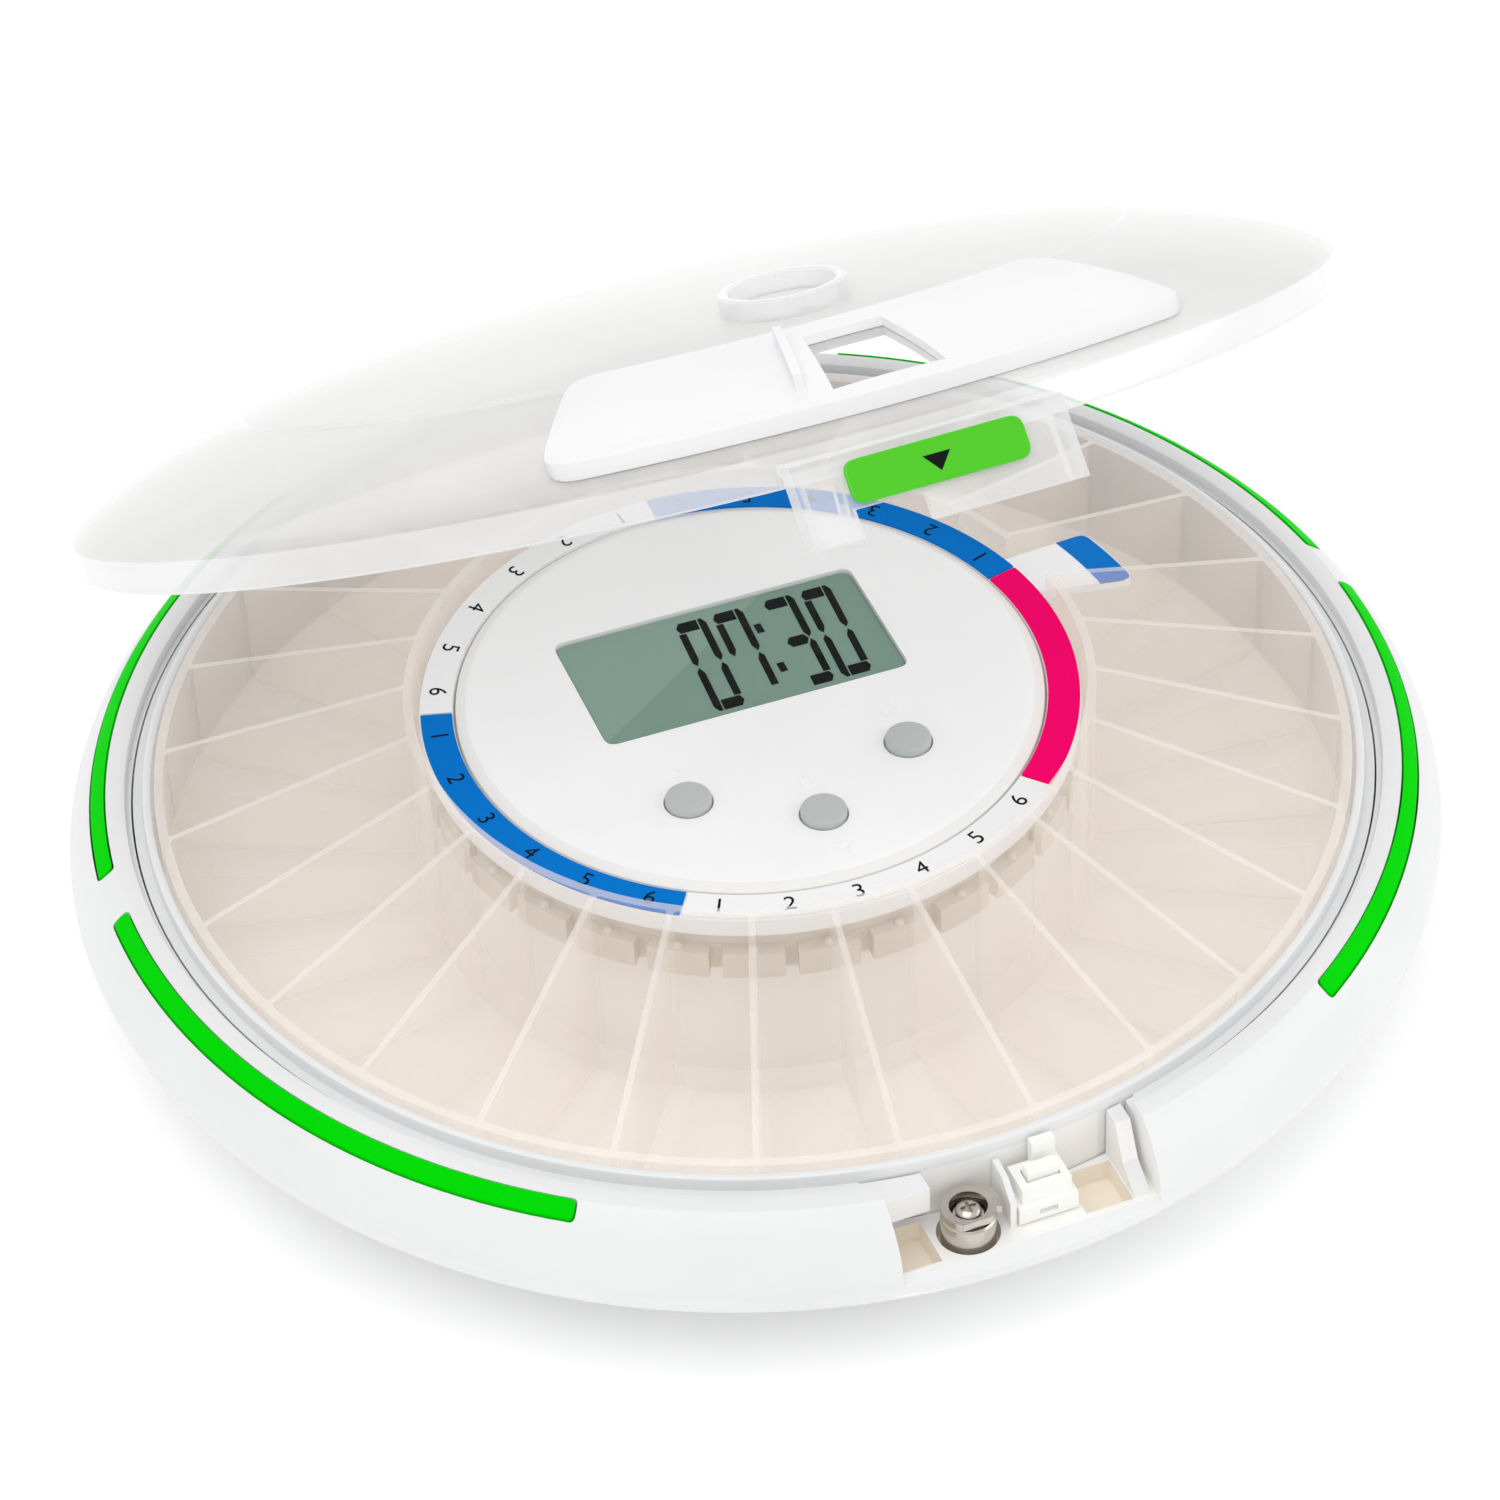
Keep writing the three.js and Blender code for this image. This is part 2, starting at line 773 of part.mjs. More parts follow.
function outerShell() {
  const shoulderTop = shoulderHeight(shoulderRadius) + shoulderCrown;
  const ledgeRadius = coverRadius + clearance;
  const profile = [
    [seamRadius, grooveUnderside],
    [seamRadius, grooveFloor],
    [grooveRadius, grooveFloor],
    [grooveRadius, shoulderTop],
    ...bodyCurve(),
    [ledgeRadius, groundGap],
    [ledgeRadius, coverTop],
    [ledgeRadius - ledgeWidth, coverTop],
    [ledgeRadius - ledgeWidth, ledgeTop],
    ...innerSkin().reverse(),
    [shoulderRadius - shellWall, grooveUnderside],
  ];
  const opening = baySideLine([-bayHalfWidth, bayHalfWidth]);
  const slots = Object.keys(stripSpans).map((name) => (
    prism(stripOutline(name, clearance), lightBoardTop, trayCrownHeight)
  ));
  const shell = cut(revolve(profile), [opening, ...slots]);
  const whole = join([shell, bayMoulding(), ...hingeLugs()]);
  return cut(whole, [
    hingeHole(hingePinRadius + clearance),
    lockHole(barrelRadius + clearance, 0, bayFloor + overrun),
  ]);
}

// Base cover, door and what they carry

function quarterPlaces(orbit, start) {
  const places = [];
  for (let step = 0; step < quarterCount; step += 1) {
    places.push(polar(orbit, start + turn * step / quarterCount));
  }
  return places;
}

const rubberPlaces = quarterPlaces(rubberOrbit, turn / quarterCount * halfShare);
const screwPlaces = quarterPlaces(screwOrbit, 0);
const doorScrewPlace = [0, -batteryHalfY - doorRebate - doorTongueLength + doorScrewInset];

function doorOutline(margin) {
  const x = batteryHalfX + doorRebate - margin;
  const y = batteryHalfY + doorRebate - margin;
  const tongueX = doorTongueHalfWidth - margin;
  const tongueY = batteryHalfY + doorRebate + doorTongueLength - margin;
  return [[x, -y], [x, y], [-x, y], [-x, -y], [-tongueX, -y], [-tongueX, -tongueY], [tongueX, -tongueY],
    [tongueX, -y]];
}

function baseCover() {
  const disc = rod(coverRadius, groundGap, coverTop, [0, 0], ringFacets);
  const outX = batteryHalfX + batteryWall;
  const outY = batteryHalfY + batteryWall;
  const box = block([-outX, outX], [-outY, outY], [groundGap, deckBottom - clearance]);
  const boss = rod(screwBossRadius, groundGap, coverTop + ledgeThickness, doorScrewPlace);
  const inside = block(
    [-batteryHalfX, batteryHalfX], [-batteryHalfY, batteryHalfY], [0, deckBottom + overrun],
  );
  const rebate = prism(doorOutline(0), 0, groundGap + doorThickness);
  const recesses = rubberPlaces.map((place) => (
    rod(rubberRadius + clearance, 0, groundGap + rubberRecess, place)
  ));
  const heads = screwPlaces.map((place) => (
    rod(screwHeadRadius + clearance, 0, groundGap + screwHeadRecess, place)
  ));
  const shanks = screwPlaces.map((place) => (
    rod(screwShankRadius + clearance, 0, coverTop + overrun, place, pinFacets)
  ));
  const doorHoleTop = coverTop + ledgeThickness - screwRoof;
  const doorHole = rod(screwShankRadius + clearance, 0, doorHoleTop, doorScrewPlace);
  return cut(join([disc, box, boss]), [inside, rebate, ...recesses, ...heads, ...shanks, doorHole]);
}

function rubberFoot(place) {
  return rod(rubberRadius, 0, rubberHeight, place);
}

function screwSolid(place, headBottom, tip) {
  const head = rod(screwHeadRadius, headBottom, headBottom + screwHeadHeight, place, pinFacets);
  const shank = rod(screwShankRadius, headBottom, tip, place, pinFacets);
  const slot = crossCutters(place, headBottom - overrun, headBottom + crossDepth);
  return cut(head.add(shank), slot);
}

function crossCutters(place, bottom, top) {
  const long = crossLength * halfShare;
  const narrow = crossWidth * halfShare;
  const [x, y] = place;
  return [
    block([x - long, x + long], [y - narrow, y + narrow], [bottom, top]),
    block([x - narrow, x + narrow], [y - long, y + long], [bottom, top]),
  ];
}

function housingScrew(place) {
  const headBottom = groundGap + screwHeadRecess - clearance - screwHeadHeight;
  return screwSolid(place, headBottom, wellFloorTop - screwRoof - clearance);
}

function batteryDoor() {
  const plate = prism(doorOutline(clearance), groundGap, groundGap + doorThickness - clearance * halfShare);
  return cut(plate, [rod(screwShankRadius + clearance, 0, coverTop, doorScrewPlace)]);
}

function doorScrew() {
  const headTop = groundGap - clearance;
  const tip = coverTop + ledgeThickness - screwRoof - clearance;
  const head = rod(screwHeadRadius, headTop - doorScrewHead, headTop, doorScrewPlace);
  return head.add(rod(screwShankRadius, headTop - doorScrewHead, tip, doorScrewPlace));
}

function cellCentres() {
  const centres = [];
  for (let step = 0; step < cellCount; step += 1) {
    centres.push((step - (cellCount - 1) * halfShare) * cellPitch);
  }
  return centres;
}

const cellHeight = groundGap + doorThickness + clearance + cellRadius;

function alongY(radius, ySpan, place, facets = rodFacets) {
  const geometry = new THREE.CylinderGeometry(radius, radius, ySpan[1] - ySpan[0], facets);
  geometry.translate(place[0], middle(ySpan), place[1]);
  return toSolid(geometry);
}

function battery(x, way) {
  const half = (cellLength + cellNubLength) * halfShare;
  const canEnds = [-half * way, (half - cellNubLength) * way].sort((a, b) => a - b);
  const nubEnds = [0, half * way].sort((a, b) => a - b);
  const can = alongY(cellRadius, canEnds, [x, cellHeight]);
  return can.add(alongY(cellNubRadius, nubEnds, [x, cellHeight], pinFacets));
}

// A plate that joins two neighbouring cells at one end of the bay
function batteryContact(pair, side) {
  const end = (cellLength + cellNubLength) * halfShare + clearance;
  const plateFace = batteryHalfY - clearance - contactThickness;
  const xSpan = [pair[0] - contactButtonRadius, pair[1] + contactButtonRadius];
  const ySpan = [side * plateFace, side * (plateFace + contactThickness)].sort((a, b) => a - b);
  const low = cellHeight - contactHeight * halfShare;
  const plate = block(xSpan, ySpan, [low, low + contactHeight]);
  const buttonSpan = [side * end, side * plateFace].sort((a, b) => a - b);
  const buttons = pair.map((x) => alongY(contactButtonRadius, buttonSpan, [x, cellHeight], pinFacets));
  return join([plate, ...buttons]);
}

// Tray well with its tower, deck and columns

function trayWell() {
  const slopeFoot = wellRadius - wellSlopeRun;
  const inX = wellFloor * wellSlopeRise / wellSlope;
  const inZ = wellFloor * wellSlopeRun / wellSlope;
  const rate = wellSlopeRise / wellSlopeRun;
  const innerWall = wellRadius - wellWall;
  const slopeTopZ = wellBottom + wellSlopeRise + inZ - (wellWall - inX) * rate;
  const slopeFootX = slopeFoot - inX + (wellFloor - inZ) / rate;
  const flangeRadius = seamRadius - clearance;
  const well = revolve([
    [0, deckBottom],
    [towerRadius - towerWall, deckBottom],
    [towerRadius - towerWall, wellBottom],
    [slopeFoot, wellBottom],
    [wellRadius, wellBottom + wellSlopeRise],
    [wellRadius, shelfTop - shelfThickness],
    [shelfRadius, shelfTop - shelfThickness],
    [shelfRadius, shelfTop],
    [wellRadius, shelfTop],
    [wellRadius, grooveUnderside],
    [flangeRadius, grooveUnderside],
    [flangeRadius, grooveFloor],
    [wellRadius, grooveFloor],
    [wellRadius, wellLipHeight],
    [innerWall, wellLipHeight],
    [innerWall, slopeTopZ],
    [slopeFootX, wellFloorTop],
    [towerRadius, wellFloorTop],
    [towerRadius, towerHeight],
    [towerRadius - towerWall, towerHeight],
    [towerRadius - towerWall, deckTop],
    [0, deckTop],
  ]);
  const reach = bayHalfWidth + bayWall + clearance;
  const notchBottom = bayFloor - bayFloorThickness - clearance;
  const notch = block([-reach, reach], [-bodyRadius, -coverRadius], [notchBottom, trayCrownHeight]);
  const notchRing = notch.subtract(wellCylinder(wellRadius));
  const columns = columnAngles.map((angle) => (
    rod(columnRadius, deckBottom, boardBottom - clearance, polar(columnOrbit, angle + consoleTurn))
  ));
  const bosses = screwPlaces.map((place) => (
    rod(screwBossRadius, coverTop + clearance, wellFloorTop, place)
  ));
  const holes = screwPlaces.map((place) => (
    rod(screwShankRadius + clearance, 0, wellFloorTop - screwRoof, place, pinFacets)
  ));
  return cut(join([well, ...columns, ...bosses]), [notchRing, ...holes]);
}

// Pill tray: a ring of pockets divided by thin walls

function pocketOutline(step) {
  const start = pocketPitch * step;
  const span = [start, start + pocketPitch];
  const inner = trayInnerRadius + trayInnerWall;
  const outer = trayRadius - trayWall;
  return sectorOutline(inner, outer, span, pocketCorner, dividerThickness * halfShare);
}

function pillTray() {
  const rate = wellSlopeRise / wellSlopeRun;
  const slopeX = wellRadius - wellWall - trayGap;
  const inZ = wellFloor * wellSlopeRun / wellSlope;
  const inX = wellFloor * wellSlopeRise / wellSlope;
  const wellSlopeZ = (radius) => wellBottom + inZ + (radius - wellRadius + inX) * rate + wellSlopeRise;
  const rise = trayGap * wellSlope / wellSlopeRun;
  const traySlopeZ = (radius) => wellSlopeZ(radius) + rise;
  const pocketSlopeZ = (radius) => traySlopeZ(radius) + trayFloor * wellSlope / wellSlopeRun;
  const footX = slopeX - (traySlopeZ(slopeX) - trayBottom) / rate;
  const pocketFootX = slopeX - (pocketSlopeZ(slopeX) - trayFloorTop) / rate;
  const inner = trayInnerRadius + trayInnerWall;
  const ring = revolve([
    [trayInnerRadius, trayBottom],
    [footX, trayBottom],
    [trayRadius, traySlopeZ(trayRadius)],
    [trayRadius, trayRimHeight],
    [trayRadius - trayWall, trayRimHeight],
    [inner, trayCrownHeight],
    [trayInnerRadius, trayCrownHeight],
  ], trayFacets);
  const space = revolve([
    [trayInnerRadius, trayFloorTop],
    [pocketFootX, trayFloorTop],
    [wellRadius, pocketSlopeZ(wellRadius)],
    [wellRadius, trayCrownHeight + overrun],
    [trayInnerRadius, trayCrownHeight + overrun],
  ], trayFacets);
  let tray = ring;
  for (let step = 0; step < pocketCount; step += 1) {
    const wedge = prism(pocketOutline(step), trayFloorTop - overrun, trayCrownHeight + overrun);
    tray = tray.subtract(wedge.intersect(space));
  }
  const gapBottom = doseTop - doseThickness - doseTabDrop * halfShare;
  const gapSpan = [pocketPitch * doseTabPocket, pocketPitch * (doseTabPocket + 1)];
  const gapSide = dividerThickness * halfShare;
  const gap = sectorOutline(doseOuter, inner + pocketCorner, gapSpan, clearance, gapSide);
  tray = tray.subtract(prism(gap, gapBottom, trayCrownHeight + overrun));
  return join([tray, ...driveLugs()]);
}

function driveLugs() {
  const half = notchWidth * halfShare - clearance;
  const middleHeight = driveFlangeBottom + driveFlangeHeight * halfShare;
  const zSpan = [middleHeight - driveLugHeight * halfShare, middleHeight + driveLugHeight * halfShare];
  const lugs = [];
  for (let quarter = 0; quarter < quarterCount; quarter += 1) {
    const step = Math.round(pocketCount * quarter / quarterCount);
    const reach = trayInnerRadius + trayInnerWall * halfShare;
    const length = driveLugLength + trayInnerWall * halfShare;
    const geometry = new THREE.BoxGeometry(length, half + half, driveLugHeight);
    geometry.translate(reach - length * halfShare, 0, middle(zSpan));
    geometry.rotateZ(pocketPitch * (step + halfShare) * degree);
    lugs.push(toSolid(geometry));
  }
  return lugs;
}

// Drive ring with notches for the tray and teeth for the motor

function gearOutline(rootRadius, tipRadius, teeth) {
  const pitch = turn / teeth;
  const points = [];
  for (let tooth = 0; tooth < teeth; tooth += 1) {
    const centre = tooth * pitch;
    points.push(polar(rootRadius, centre - pitch * toothRootShare * halfShare));
    points.push(polar(tipRadius, centre - pitch * toothTipShare * halfShare));
    points.push(polar(tipRadius, centre + pitch * toothTipShare * halfShare));
    points.push(polar(rootRadius, centre + pitch * toothRootShare * halfShare));
  }
  return points;
}

const gearPitchRadius = driveNeckInner - toothHeight * halfShare;
const pinionPitchRadius = gearPitchRadius * pinionTeeth / gearTeeth;
const motorOrbit = gearPitchRadius - pinionPitchRadius;

function driveRing() {
  const body = revolve([
    [driveNeckInner, driveFlangeBottom],
    [driveFlangeRadius, driveFlangeBottom],
    [driveFlangeRadius, driveFlangeTop],
    [driveNeckRadius, driveFlangeTop],
    [driveNeckRadius, doseUnderside - clearance],
    [driveNeckInner, doseUnderside - clearance],
  ], trayFacets);
  const shape = outlineShape(circlePoints(driveNeckInner + gearBand, [0, 0], trayFacets));
  shape.holes.push(outlineShape(gearOutline(driveNeckInner, driveNeckInner - toothHeight, gearTeeth)));
  const geometry = new THREE.ExtrudeGeometry(shape, { depth: driveFlangeHeight, bevelEnabled: false });
  geometry.translate(0, 0, driveFlangeBottom);
  geometry.rotateZ((motorAngle - trayTurn + turn * halfShare / gearTeeth) * degree);
  const notches = [];
  for (let step = 0; step < pocketCount; step += 1) {
    const notch = new THREE.BoxGeometry(notchDepth + overrun, notchWidth, driveFlangeHeight + overrun);
    notch.translate(driveFlangeRadius - notchDepth + (notchDepth + overrun) * halfShare, 0,
      driveFlangeBottom + driveFlangeHeight * halfShare);
    notch.rotateZ(pocketPitch * (step + halfShare) * degree);
    notches.push(toSolid(notch));
  }
  return cut(body.add(toSolid(geometry)), notches);
}

function motorPinion() {
  const tip = pinionPitchRadius + toothHeight * halfShare - clearance;
  const root = tip - pinionToothRise;
  const shape = outlineShape(gearOutline(root, tip, pinionTeeth));
  shape.holes.push(outlineShape(circlePoints(motorShaftRadius + clearance, [0, 0])));
  const depth = driveFlangeHeight - clearance - clearance;
  const geometry = new THREE.ExtrudeGeometry(shape, { depth, bevelEnabled: false });
  geometry.rotateZ(motorAngle * degree);
  geometry.translate(...polar(motorOrbit, motorAngle), driveFlangeBottom + clearance);
  return toSolid(geometry);
}

function driveMotor() {
  const place = polar(motorOrbit, motorAngle);
  const can = rod(motorRadius, deckTop + clearance, driveFlangeBottom, place);
  return can.add(rod(motorShaftRadius, driveFlangeBottom - clearance, driveFlangeTop, place));
}

// Dosage ring and its printed sectors

function dosageRing() {
  const underside = doseUnderside;
  const ring = revolve([
    [doseInner, doseTop],
    [doseOuter, doseTop],
    [doseOuter, doseTop - doseRimDepth],
    [doseOuter - doseRimWall, doseTop - doseRimDepth],
    [doseOuter - doseRimWall, underside],
    [doseInner, underside],
  ]);
  const start = doseOuter - doseRimWall;
  const slab = revolve([
    [start, doseTop],
    [doseTabReach, doseTop - doseTabDrop],
    [doseTabReach, underside - doseTabDrop],
    [start, underside],
  ]);
  const span = [pocketPitch * doseTabPocket, pocketPitch * (doseTabPocket + 1)];
  const side = dividerThickness * halfShare + clearance + clearance * halfShare;
  const outline = sectorOutline(start - doseTabCorner, doseTabReach, span, doseTabCorner, side);
  return ring.add(slab.intersect(prism(outline, 0, trayCrownHeight)));
}

function doseSector(span) {
  const margin = doseLabelMargin / doseInner / degree;
  const trimmed = [span[0] + margin - trayTurn, span[1] - margin - trayTurn];
  const outline = sectorOutline(doseInner + doseLabelMargin, doseOuter - doseLabelMargin, trimmed,
    doseLabelMargin);
  return prism(outline, doseTop, doseTop + doseLabelThickness);
}

// Console with its display and buttons

const buttonPlaces = {
  left: [-buttonSideX, buttonSideY],
  middle: [0, buttonMiddleY],
  right: [buttonSideX, buttonSideY],
};

function windowSpan(margin) {
  const half = windowDepth * halfShare + margin;
  return [windowOffset - half, windowOffset + half];
}

function consoleHousing() {
  const rimBottom = consoleTop - consoleBevelDrop - consoleEdge;
  const body = revolve([
    [0, consoleTop],
    [consoleFaceRadius, consoleTop],
    [consoleRadius, consoleTop - consoleBevelDrop],
    [consoleRadius, rimBottom],
    [skirtRadius, rimBottom],
    [skirtRadius, skirtBottom],
    [skirtRadius - skirtWall, skirtBottom],
    [skirtRadius - skirtWall, consoleUnderside],
    [0, consoleUnderside],
  ]);
  const posts = columnAngles.map((angle) => (
    rod(columnRadius, boardTop + clearance, consoleTop - consoleEdge, polar(columnOrbit, angle))
  ));
  const opening = roundedRectangle(windowWidth * halfShare, windowSpan(0), windowCorner);
  const window = prism(opening, consoleUnderside - overrun, consoleTop + overrun);
  const holes = Object.values(buttonPlaces).map((place) => (
    rod(buttonRadius + clearance, consoleUnderside - overrun, consoleTop + overrun, place)
  ));
  return cut(join([body, ...posts]), [window, ...holes]);
}

function displayLens() {
  const flangeTop = consoleUnderside - clearance;
  const bottom = flangeTop - lensFlangeThickness;
  const half = windowWidth * halfShare;
  const plate = roundedRectangle(half - clearance, windowSpan(-clearance), windowCorner);
  const flange = roundedRectangle(half + lensFlange, windowSpan(lensFlange), windowCorner);
  return prism(plate, bottom, consoleTop - lensRecess).add(prism(flange, bottom, flangeTop));
}

function displayModule() {
  const top = consoleUnderside - clearance - lensFlangeThickness - clearance;
  const half = windowWidth * halfShare + moduleMargin;
  const outline = roundedRectangle(half, windowSpan(moduleMargin), windowCorner);
  return prism(outline, boardTop + clearance, top);
}

function button(place) {
  const top = consoleTop + buttonProud;
  const collarTop = consoleUnderside - clearance;
  const collarBottom = collarTop - buttonCollarHeight;
  return revolve([
    [0, top],
    [buttonRadius * buttonDomeShare, top - buttonDome * halfShare * halfShare],
    [buttonRadius, top - buttonDome],
    [buttonRadius, collarTop],
    [buttonRadius + buttonCollar, collarTop],
    [buttonRadius + buttonCollar, collarBottom],
    [buttonStemRadius, collarBottom],
    [buttonStemRadius, boardTop + buttonLift],
    [0, boardTop + buttonLift],
  ], rodFacets, place);
}

function mainBoard() {
  return rod(boardRadius, boardBottom, boardTop, [0, 0], rodFacets + rodFacets);
}

function buzzer() {
  const top = boardBottom - clearance;
  return rod(buzzerRadius, top - buzzerHeight, top, buzzerPlace);
}

// Light strips round the shoulder

function lightGuide(name) {
  const outline = stripOutline(name, 0);
  const outer = stripInner + stripWidth;
  const bottom = lightBoardTop + clearance;
  const profile = [[stripInner - overrun, bottom], [stripInner - overrun, trayRimHeight]];
  for (const radius of [stripInner - stripCorner, middle([stripInner, outer]), outer + stripCorner]) {
    profile.push([radius, shoulderHeight(radius) + stripProud]);
  }
  profile.push([outer + stripCorner, bottom]);
  profile[1][1] = profile[2][1];
  return revolve(profile).intersect(prism(outline, lightBoardTop, trayCrownHeight));
}

function lightBoard() {
  const span = [
    stripSpans.front_right[0] - lightBoardMargin,
    stripSpans.front_left[1] + lightBoardMargin,
  ];
  const outer = stripInner + stripWidth * halfShare;
  const outline = sectorOutline(lightBoardInner, outer, span, stripCorner);
  return prism(outline, lightBoardBottom, lightBoardTop);
}

// Lid, modelled closed about its hinge and then turned open

function domeZ(radius, reach, height) {
  const share = Math.min(radius / reach, 1);
  const rest = 1 - share ** domePowers[0];
  return lidRimTop + height * rest ** (1 / domePowers[1]);
}

function domeLine(reach, height, step) {
  return domeRadiusShares.map((share) => {
    const radius = share * reach;
    const raised = share < domeStepShare ? step : 0;
    return [radius, domeZ(radius, reach, height) + raised * Math.min(1, share * 2)];
  });
}

function outerDome(extra) {
  return offsetLine(domeLine(lidRadius, domeHeight, domeStep), -extra);
}

function innerDome() {
  return domeLine(lidRadius - lidWall, domeHeight - lidWall, domeStep);
}

function lidCavity() {
  const inner = innerDome();
  return revolve([...inner, [lidRadius - lidWall, 0], [0, 0]], lidFacets);
}

function lidFinger() {
  const slope = (tabBottomY - tabTopY) / (tabBottom - tabPlateTop);
  const faceY = (z) => tabTopY + (z - tabPlateTop) * slope;
  const plateBottom = tabPlateTop - tabPlateThickness;
  const wide = [-tabHalfWidth, tabHalfWidth];
  const wall = sideways([
    [tabRootY, tabPlateTop],
    [tabTopY, tabPlateTop],
    [tabBottomY, tabBottom],
    [tabBottomY + tabWall, tabBottom],
    [faceY(plateBottom) + tabWall, plateBottom],
    [tabRootY, plateBottom],
  ], wide);
  const cheekOutline = [
    [faceY(tabPlateTop), tabPlateTop],
    [tabBottomY, tabBottom],
    [tabBottomY + tabWall + cheekDepth, tabBottom],
    [faceY(plateBottom) + tabWall + cheekDepth, plateBottom],
    [faceY(plateBottom) + tabWall + cheekDepth, tabPlateTop],
  ];
  const cheeks = [
    sideways(cheekOutline, [-tabHalfWidth, cheekThickness - tabHalfWidth]),
    sideways(cheekOutline, [tabHalfWidth - cheekThickness, tabHalfWidth]),
  ];
  const striker = block(strikerX, strikerY, [plungerTop + clearance, tabPlateTop]);
  const prong = block(catchX, catchY, [catchBottom, tabPlateTop]);
  const foot = block([catchX[0], catchFootTip], catchY, [catchBottom, catchBottom + catchFootHeight]);
  const notchEnd = catchY[0] - clearance;
  const notch = block(tabNotch, [-bodyRadius, notchEnd], [tabBottom - overrun, tabBottom + tabNotchHeight]);
  return join([wall.subtract(notch), ...cheeks, striker, prong, foot]);
}

function hingeBarrels() {
  const solids = [];
  for (const side of [-1, 1]) {
    const half = hingeBarrelWidth * halfShare;
    const xSpan = [side * hingeOffset - half, side * hingeOffset + half];
    const arm = block(xSpan, [hingeArmY, hingeY], [hingeZ - hingeArmHeight * halfShare,
      hingeZ + hingeArmHeight * halfShare]);
    solids.push(arm, crossRod(hingeLugRadius, xSpan, [hingeY, hingeZ]));
  }
  return solids;
}

function lidBoss() {
  const geometry = new THREE.LatheGeometry([
    new THREE.Vector2(bossRadius - bossWall, -overrun),
    new THREE.Vector2(bossRadius, -overrun),
    new THREE.Vector2(bossRadius, bossRise),
    new THREE.Vector2(bossRadius - bossWall, bossRise),
    new THREE.Vector2(bossRadius - bossWall, -overrun),
  ], rodFacets + rodFacets);
  geometry.rotateX((turn / quarterCount + bossTilt) * degree);
  geometry.translate(0, bossY, domeZ(-bossY, lidRadius, domeHeight) + domeStep);
  return toSolid(geometry).subtract(lidCavity());
}

function chutePrism() {
  const points = [
    [chuteInnerX[0], chuteInnerY],
    [chuteOuterX[0], chuteOuterY],
    [chuteOuterX[1], chuteOuterY],
    [chuteInnerX[1], chuteInnerY],
  ];
  return prism(points, lidRimBottom, lidRimTop + domeHeight + overrun);
}

function lidShell() {
  const rim = [[lidRadius, lidRimBottom], [lidRadius - lidWall, lidRimBottom]];
  const dome = revolve([...outerDome(0), ...rim, ...innerDome().reverse()], lidFacets);
  const tabSpace = lidCavity();
  const finger = lidFinger().subtract(tabSpace);
  const whole = join([dome, finger, lidBoss(), ...hingeBarrels()]);
  return cut(whole, [chutePrism(), hingeHole(hingePinRadius + clearance)]);
}

function lidPanel() {
  const base = outerDome(clearance);
  const skin = outerDome(clearance + panelThickness);
  const cover = revolve([...skin, ...base.reverse()], lidFacets);
  const rimSpan = [panelOuter - panelRimWidth, panelOuter];
  const thick = outerDome(clearance + panelRim);
  const rimBand = revolve([...thick, ...outerDome(clearance).reverse()], lidFacets);
  const top = lidRimTop + domeHeight + overrun;
  const rimTube = revolve([
    [rimSpan[0], 0],
    [rimSpan[1], 0],
    [rimSpan[1], top],
    [rimSpan[0], top],
  ], lidFacets);
  const front = -turn / quarterCount;
  const outline = sectorOutline(panelInner, panelOuter, [front - panelHalfAngle, front + panelHalfAngle],
    panelCorner);
  const plan = prism(outline, lidRimBottom, top);
  const plate = cover.add(rimBand.intersect(rimTube)).intersect(plan);
  const run = Math.hypot(finOuter[0] - finInner[0], finOuter[1] - finInner[1]);
  const across = [-(finOuter[1] - finInner[1]) / run, (finOuter[0] - finInner[0]) / run];
  const half = finThickness * halfShare;
  const finPoints = [
    [finInner[0] + across[0] * half, finInner[1] + across[1] * half],
    [finInner[0] - across[0] * half, finInner[1] - across[1] * half],
    [finOuter[0] - across[0] * half, finOuter[1] - across[1] * half],
    [finOuter[0] + across[0] * half, finOuter[1] + across[1] * half],
  ];
  const crest = outerDome(clearance + finHeight);
  const finBody = revolve([...crest, ...outerDome(clearance).reverse()], lidFacets);
  const fin = finBody.intersect(prism(finPoints, lidRimBottom, top));
  return cut(plate.add(fin), [chutePrism()]);
}

function pressLabel() {
  const run = tabTopY - tabBottomY;
  const rise = tabPlateTop - tabBottom;
  const slant = Math.atan2(rise, run);
  const along = (z) => (z - tabBottom) / Math.sin(slant);
  const outline = roundedRectangle(labelHalfWidth - labelBevel, [along(labelBottom) + labelBevel,
    along(labelTop) - labelBevel], labelCorner);
  const geometry = new THREE.ExtrudeGeometry(outlineShape(outline), {
    depth: labelThickness - labelBevel,
    bevelEnabled: true,
    bevelThickness: labelBevel,
    bevelSize: labelBevel,
    bevelSegments: 2,
  });
  geometry.translate(0, 0, labelBevel + clearance);
  geometry.rotateX(slant);
  geometry.translate(0, tabBottomY, tabBottom);
  return toSolid(geometry);
}

function hingePin(side) {
  const half = hingeBarrelWidth * halfShare + clearance + hingeLugWidth;
  return crossRod(hingePinRadius, [side * hingeOffset - half, side * hingeOffset + half], [hingeY, hingeZ]);
}

// Lock and push latch in the bay

function lockBarrel() {
  const blank = lockHole(barrelRadius, 0, barrelTop).intersect(bodyVolume());
  return blank.subtract(lockHole(plugRadius + clearance, 0, barrelTop + overrun));
}

function lockPlug() {
  const bottom = barrelTop - plugLength;
  const keyway = block(
    [lockX - keywayWidth * halfShare, lockX + keywayWidth * halfShare],
    [lockY - keywayLength * halfShare, lockY + keywayLength * halfShare],
    [bottom - overrun, bottom + keywayDepth],
  );
  return lockHole(plugRadius, bottom, barrelTop).subtract(keyway);
}

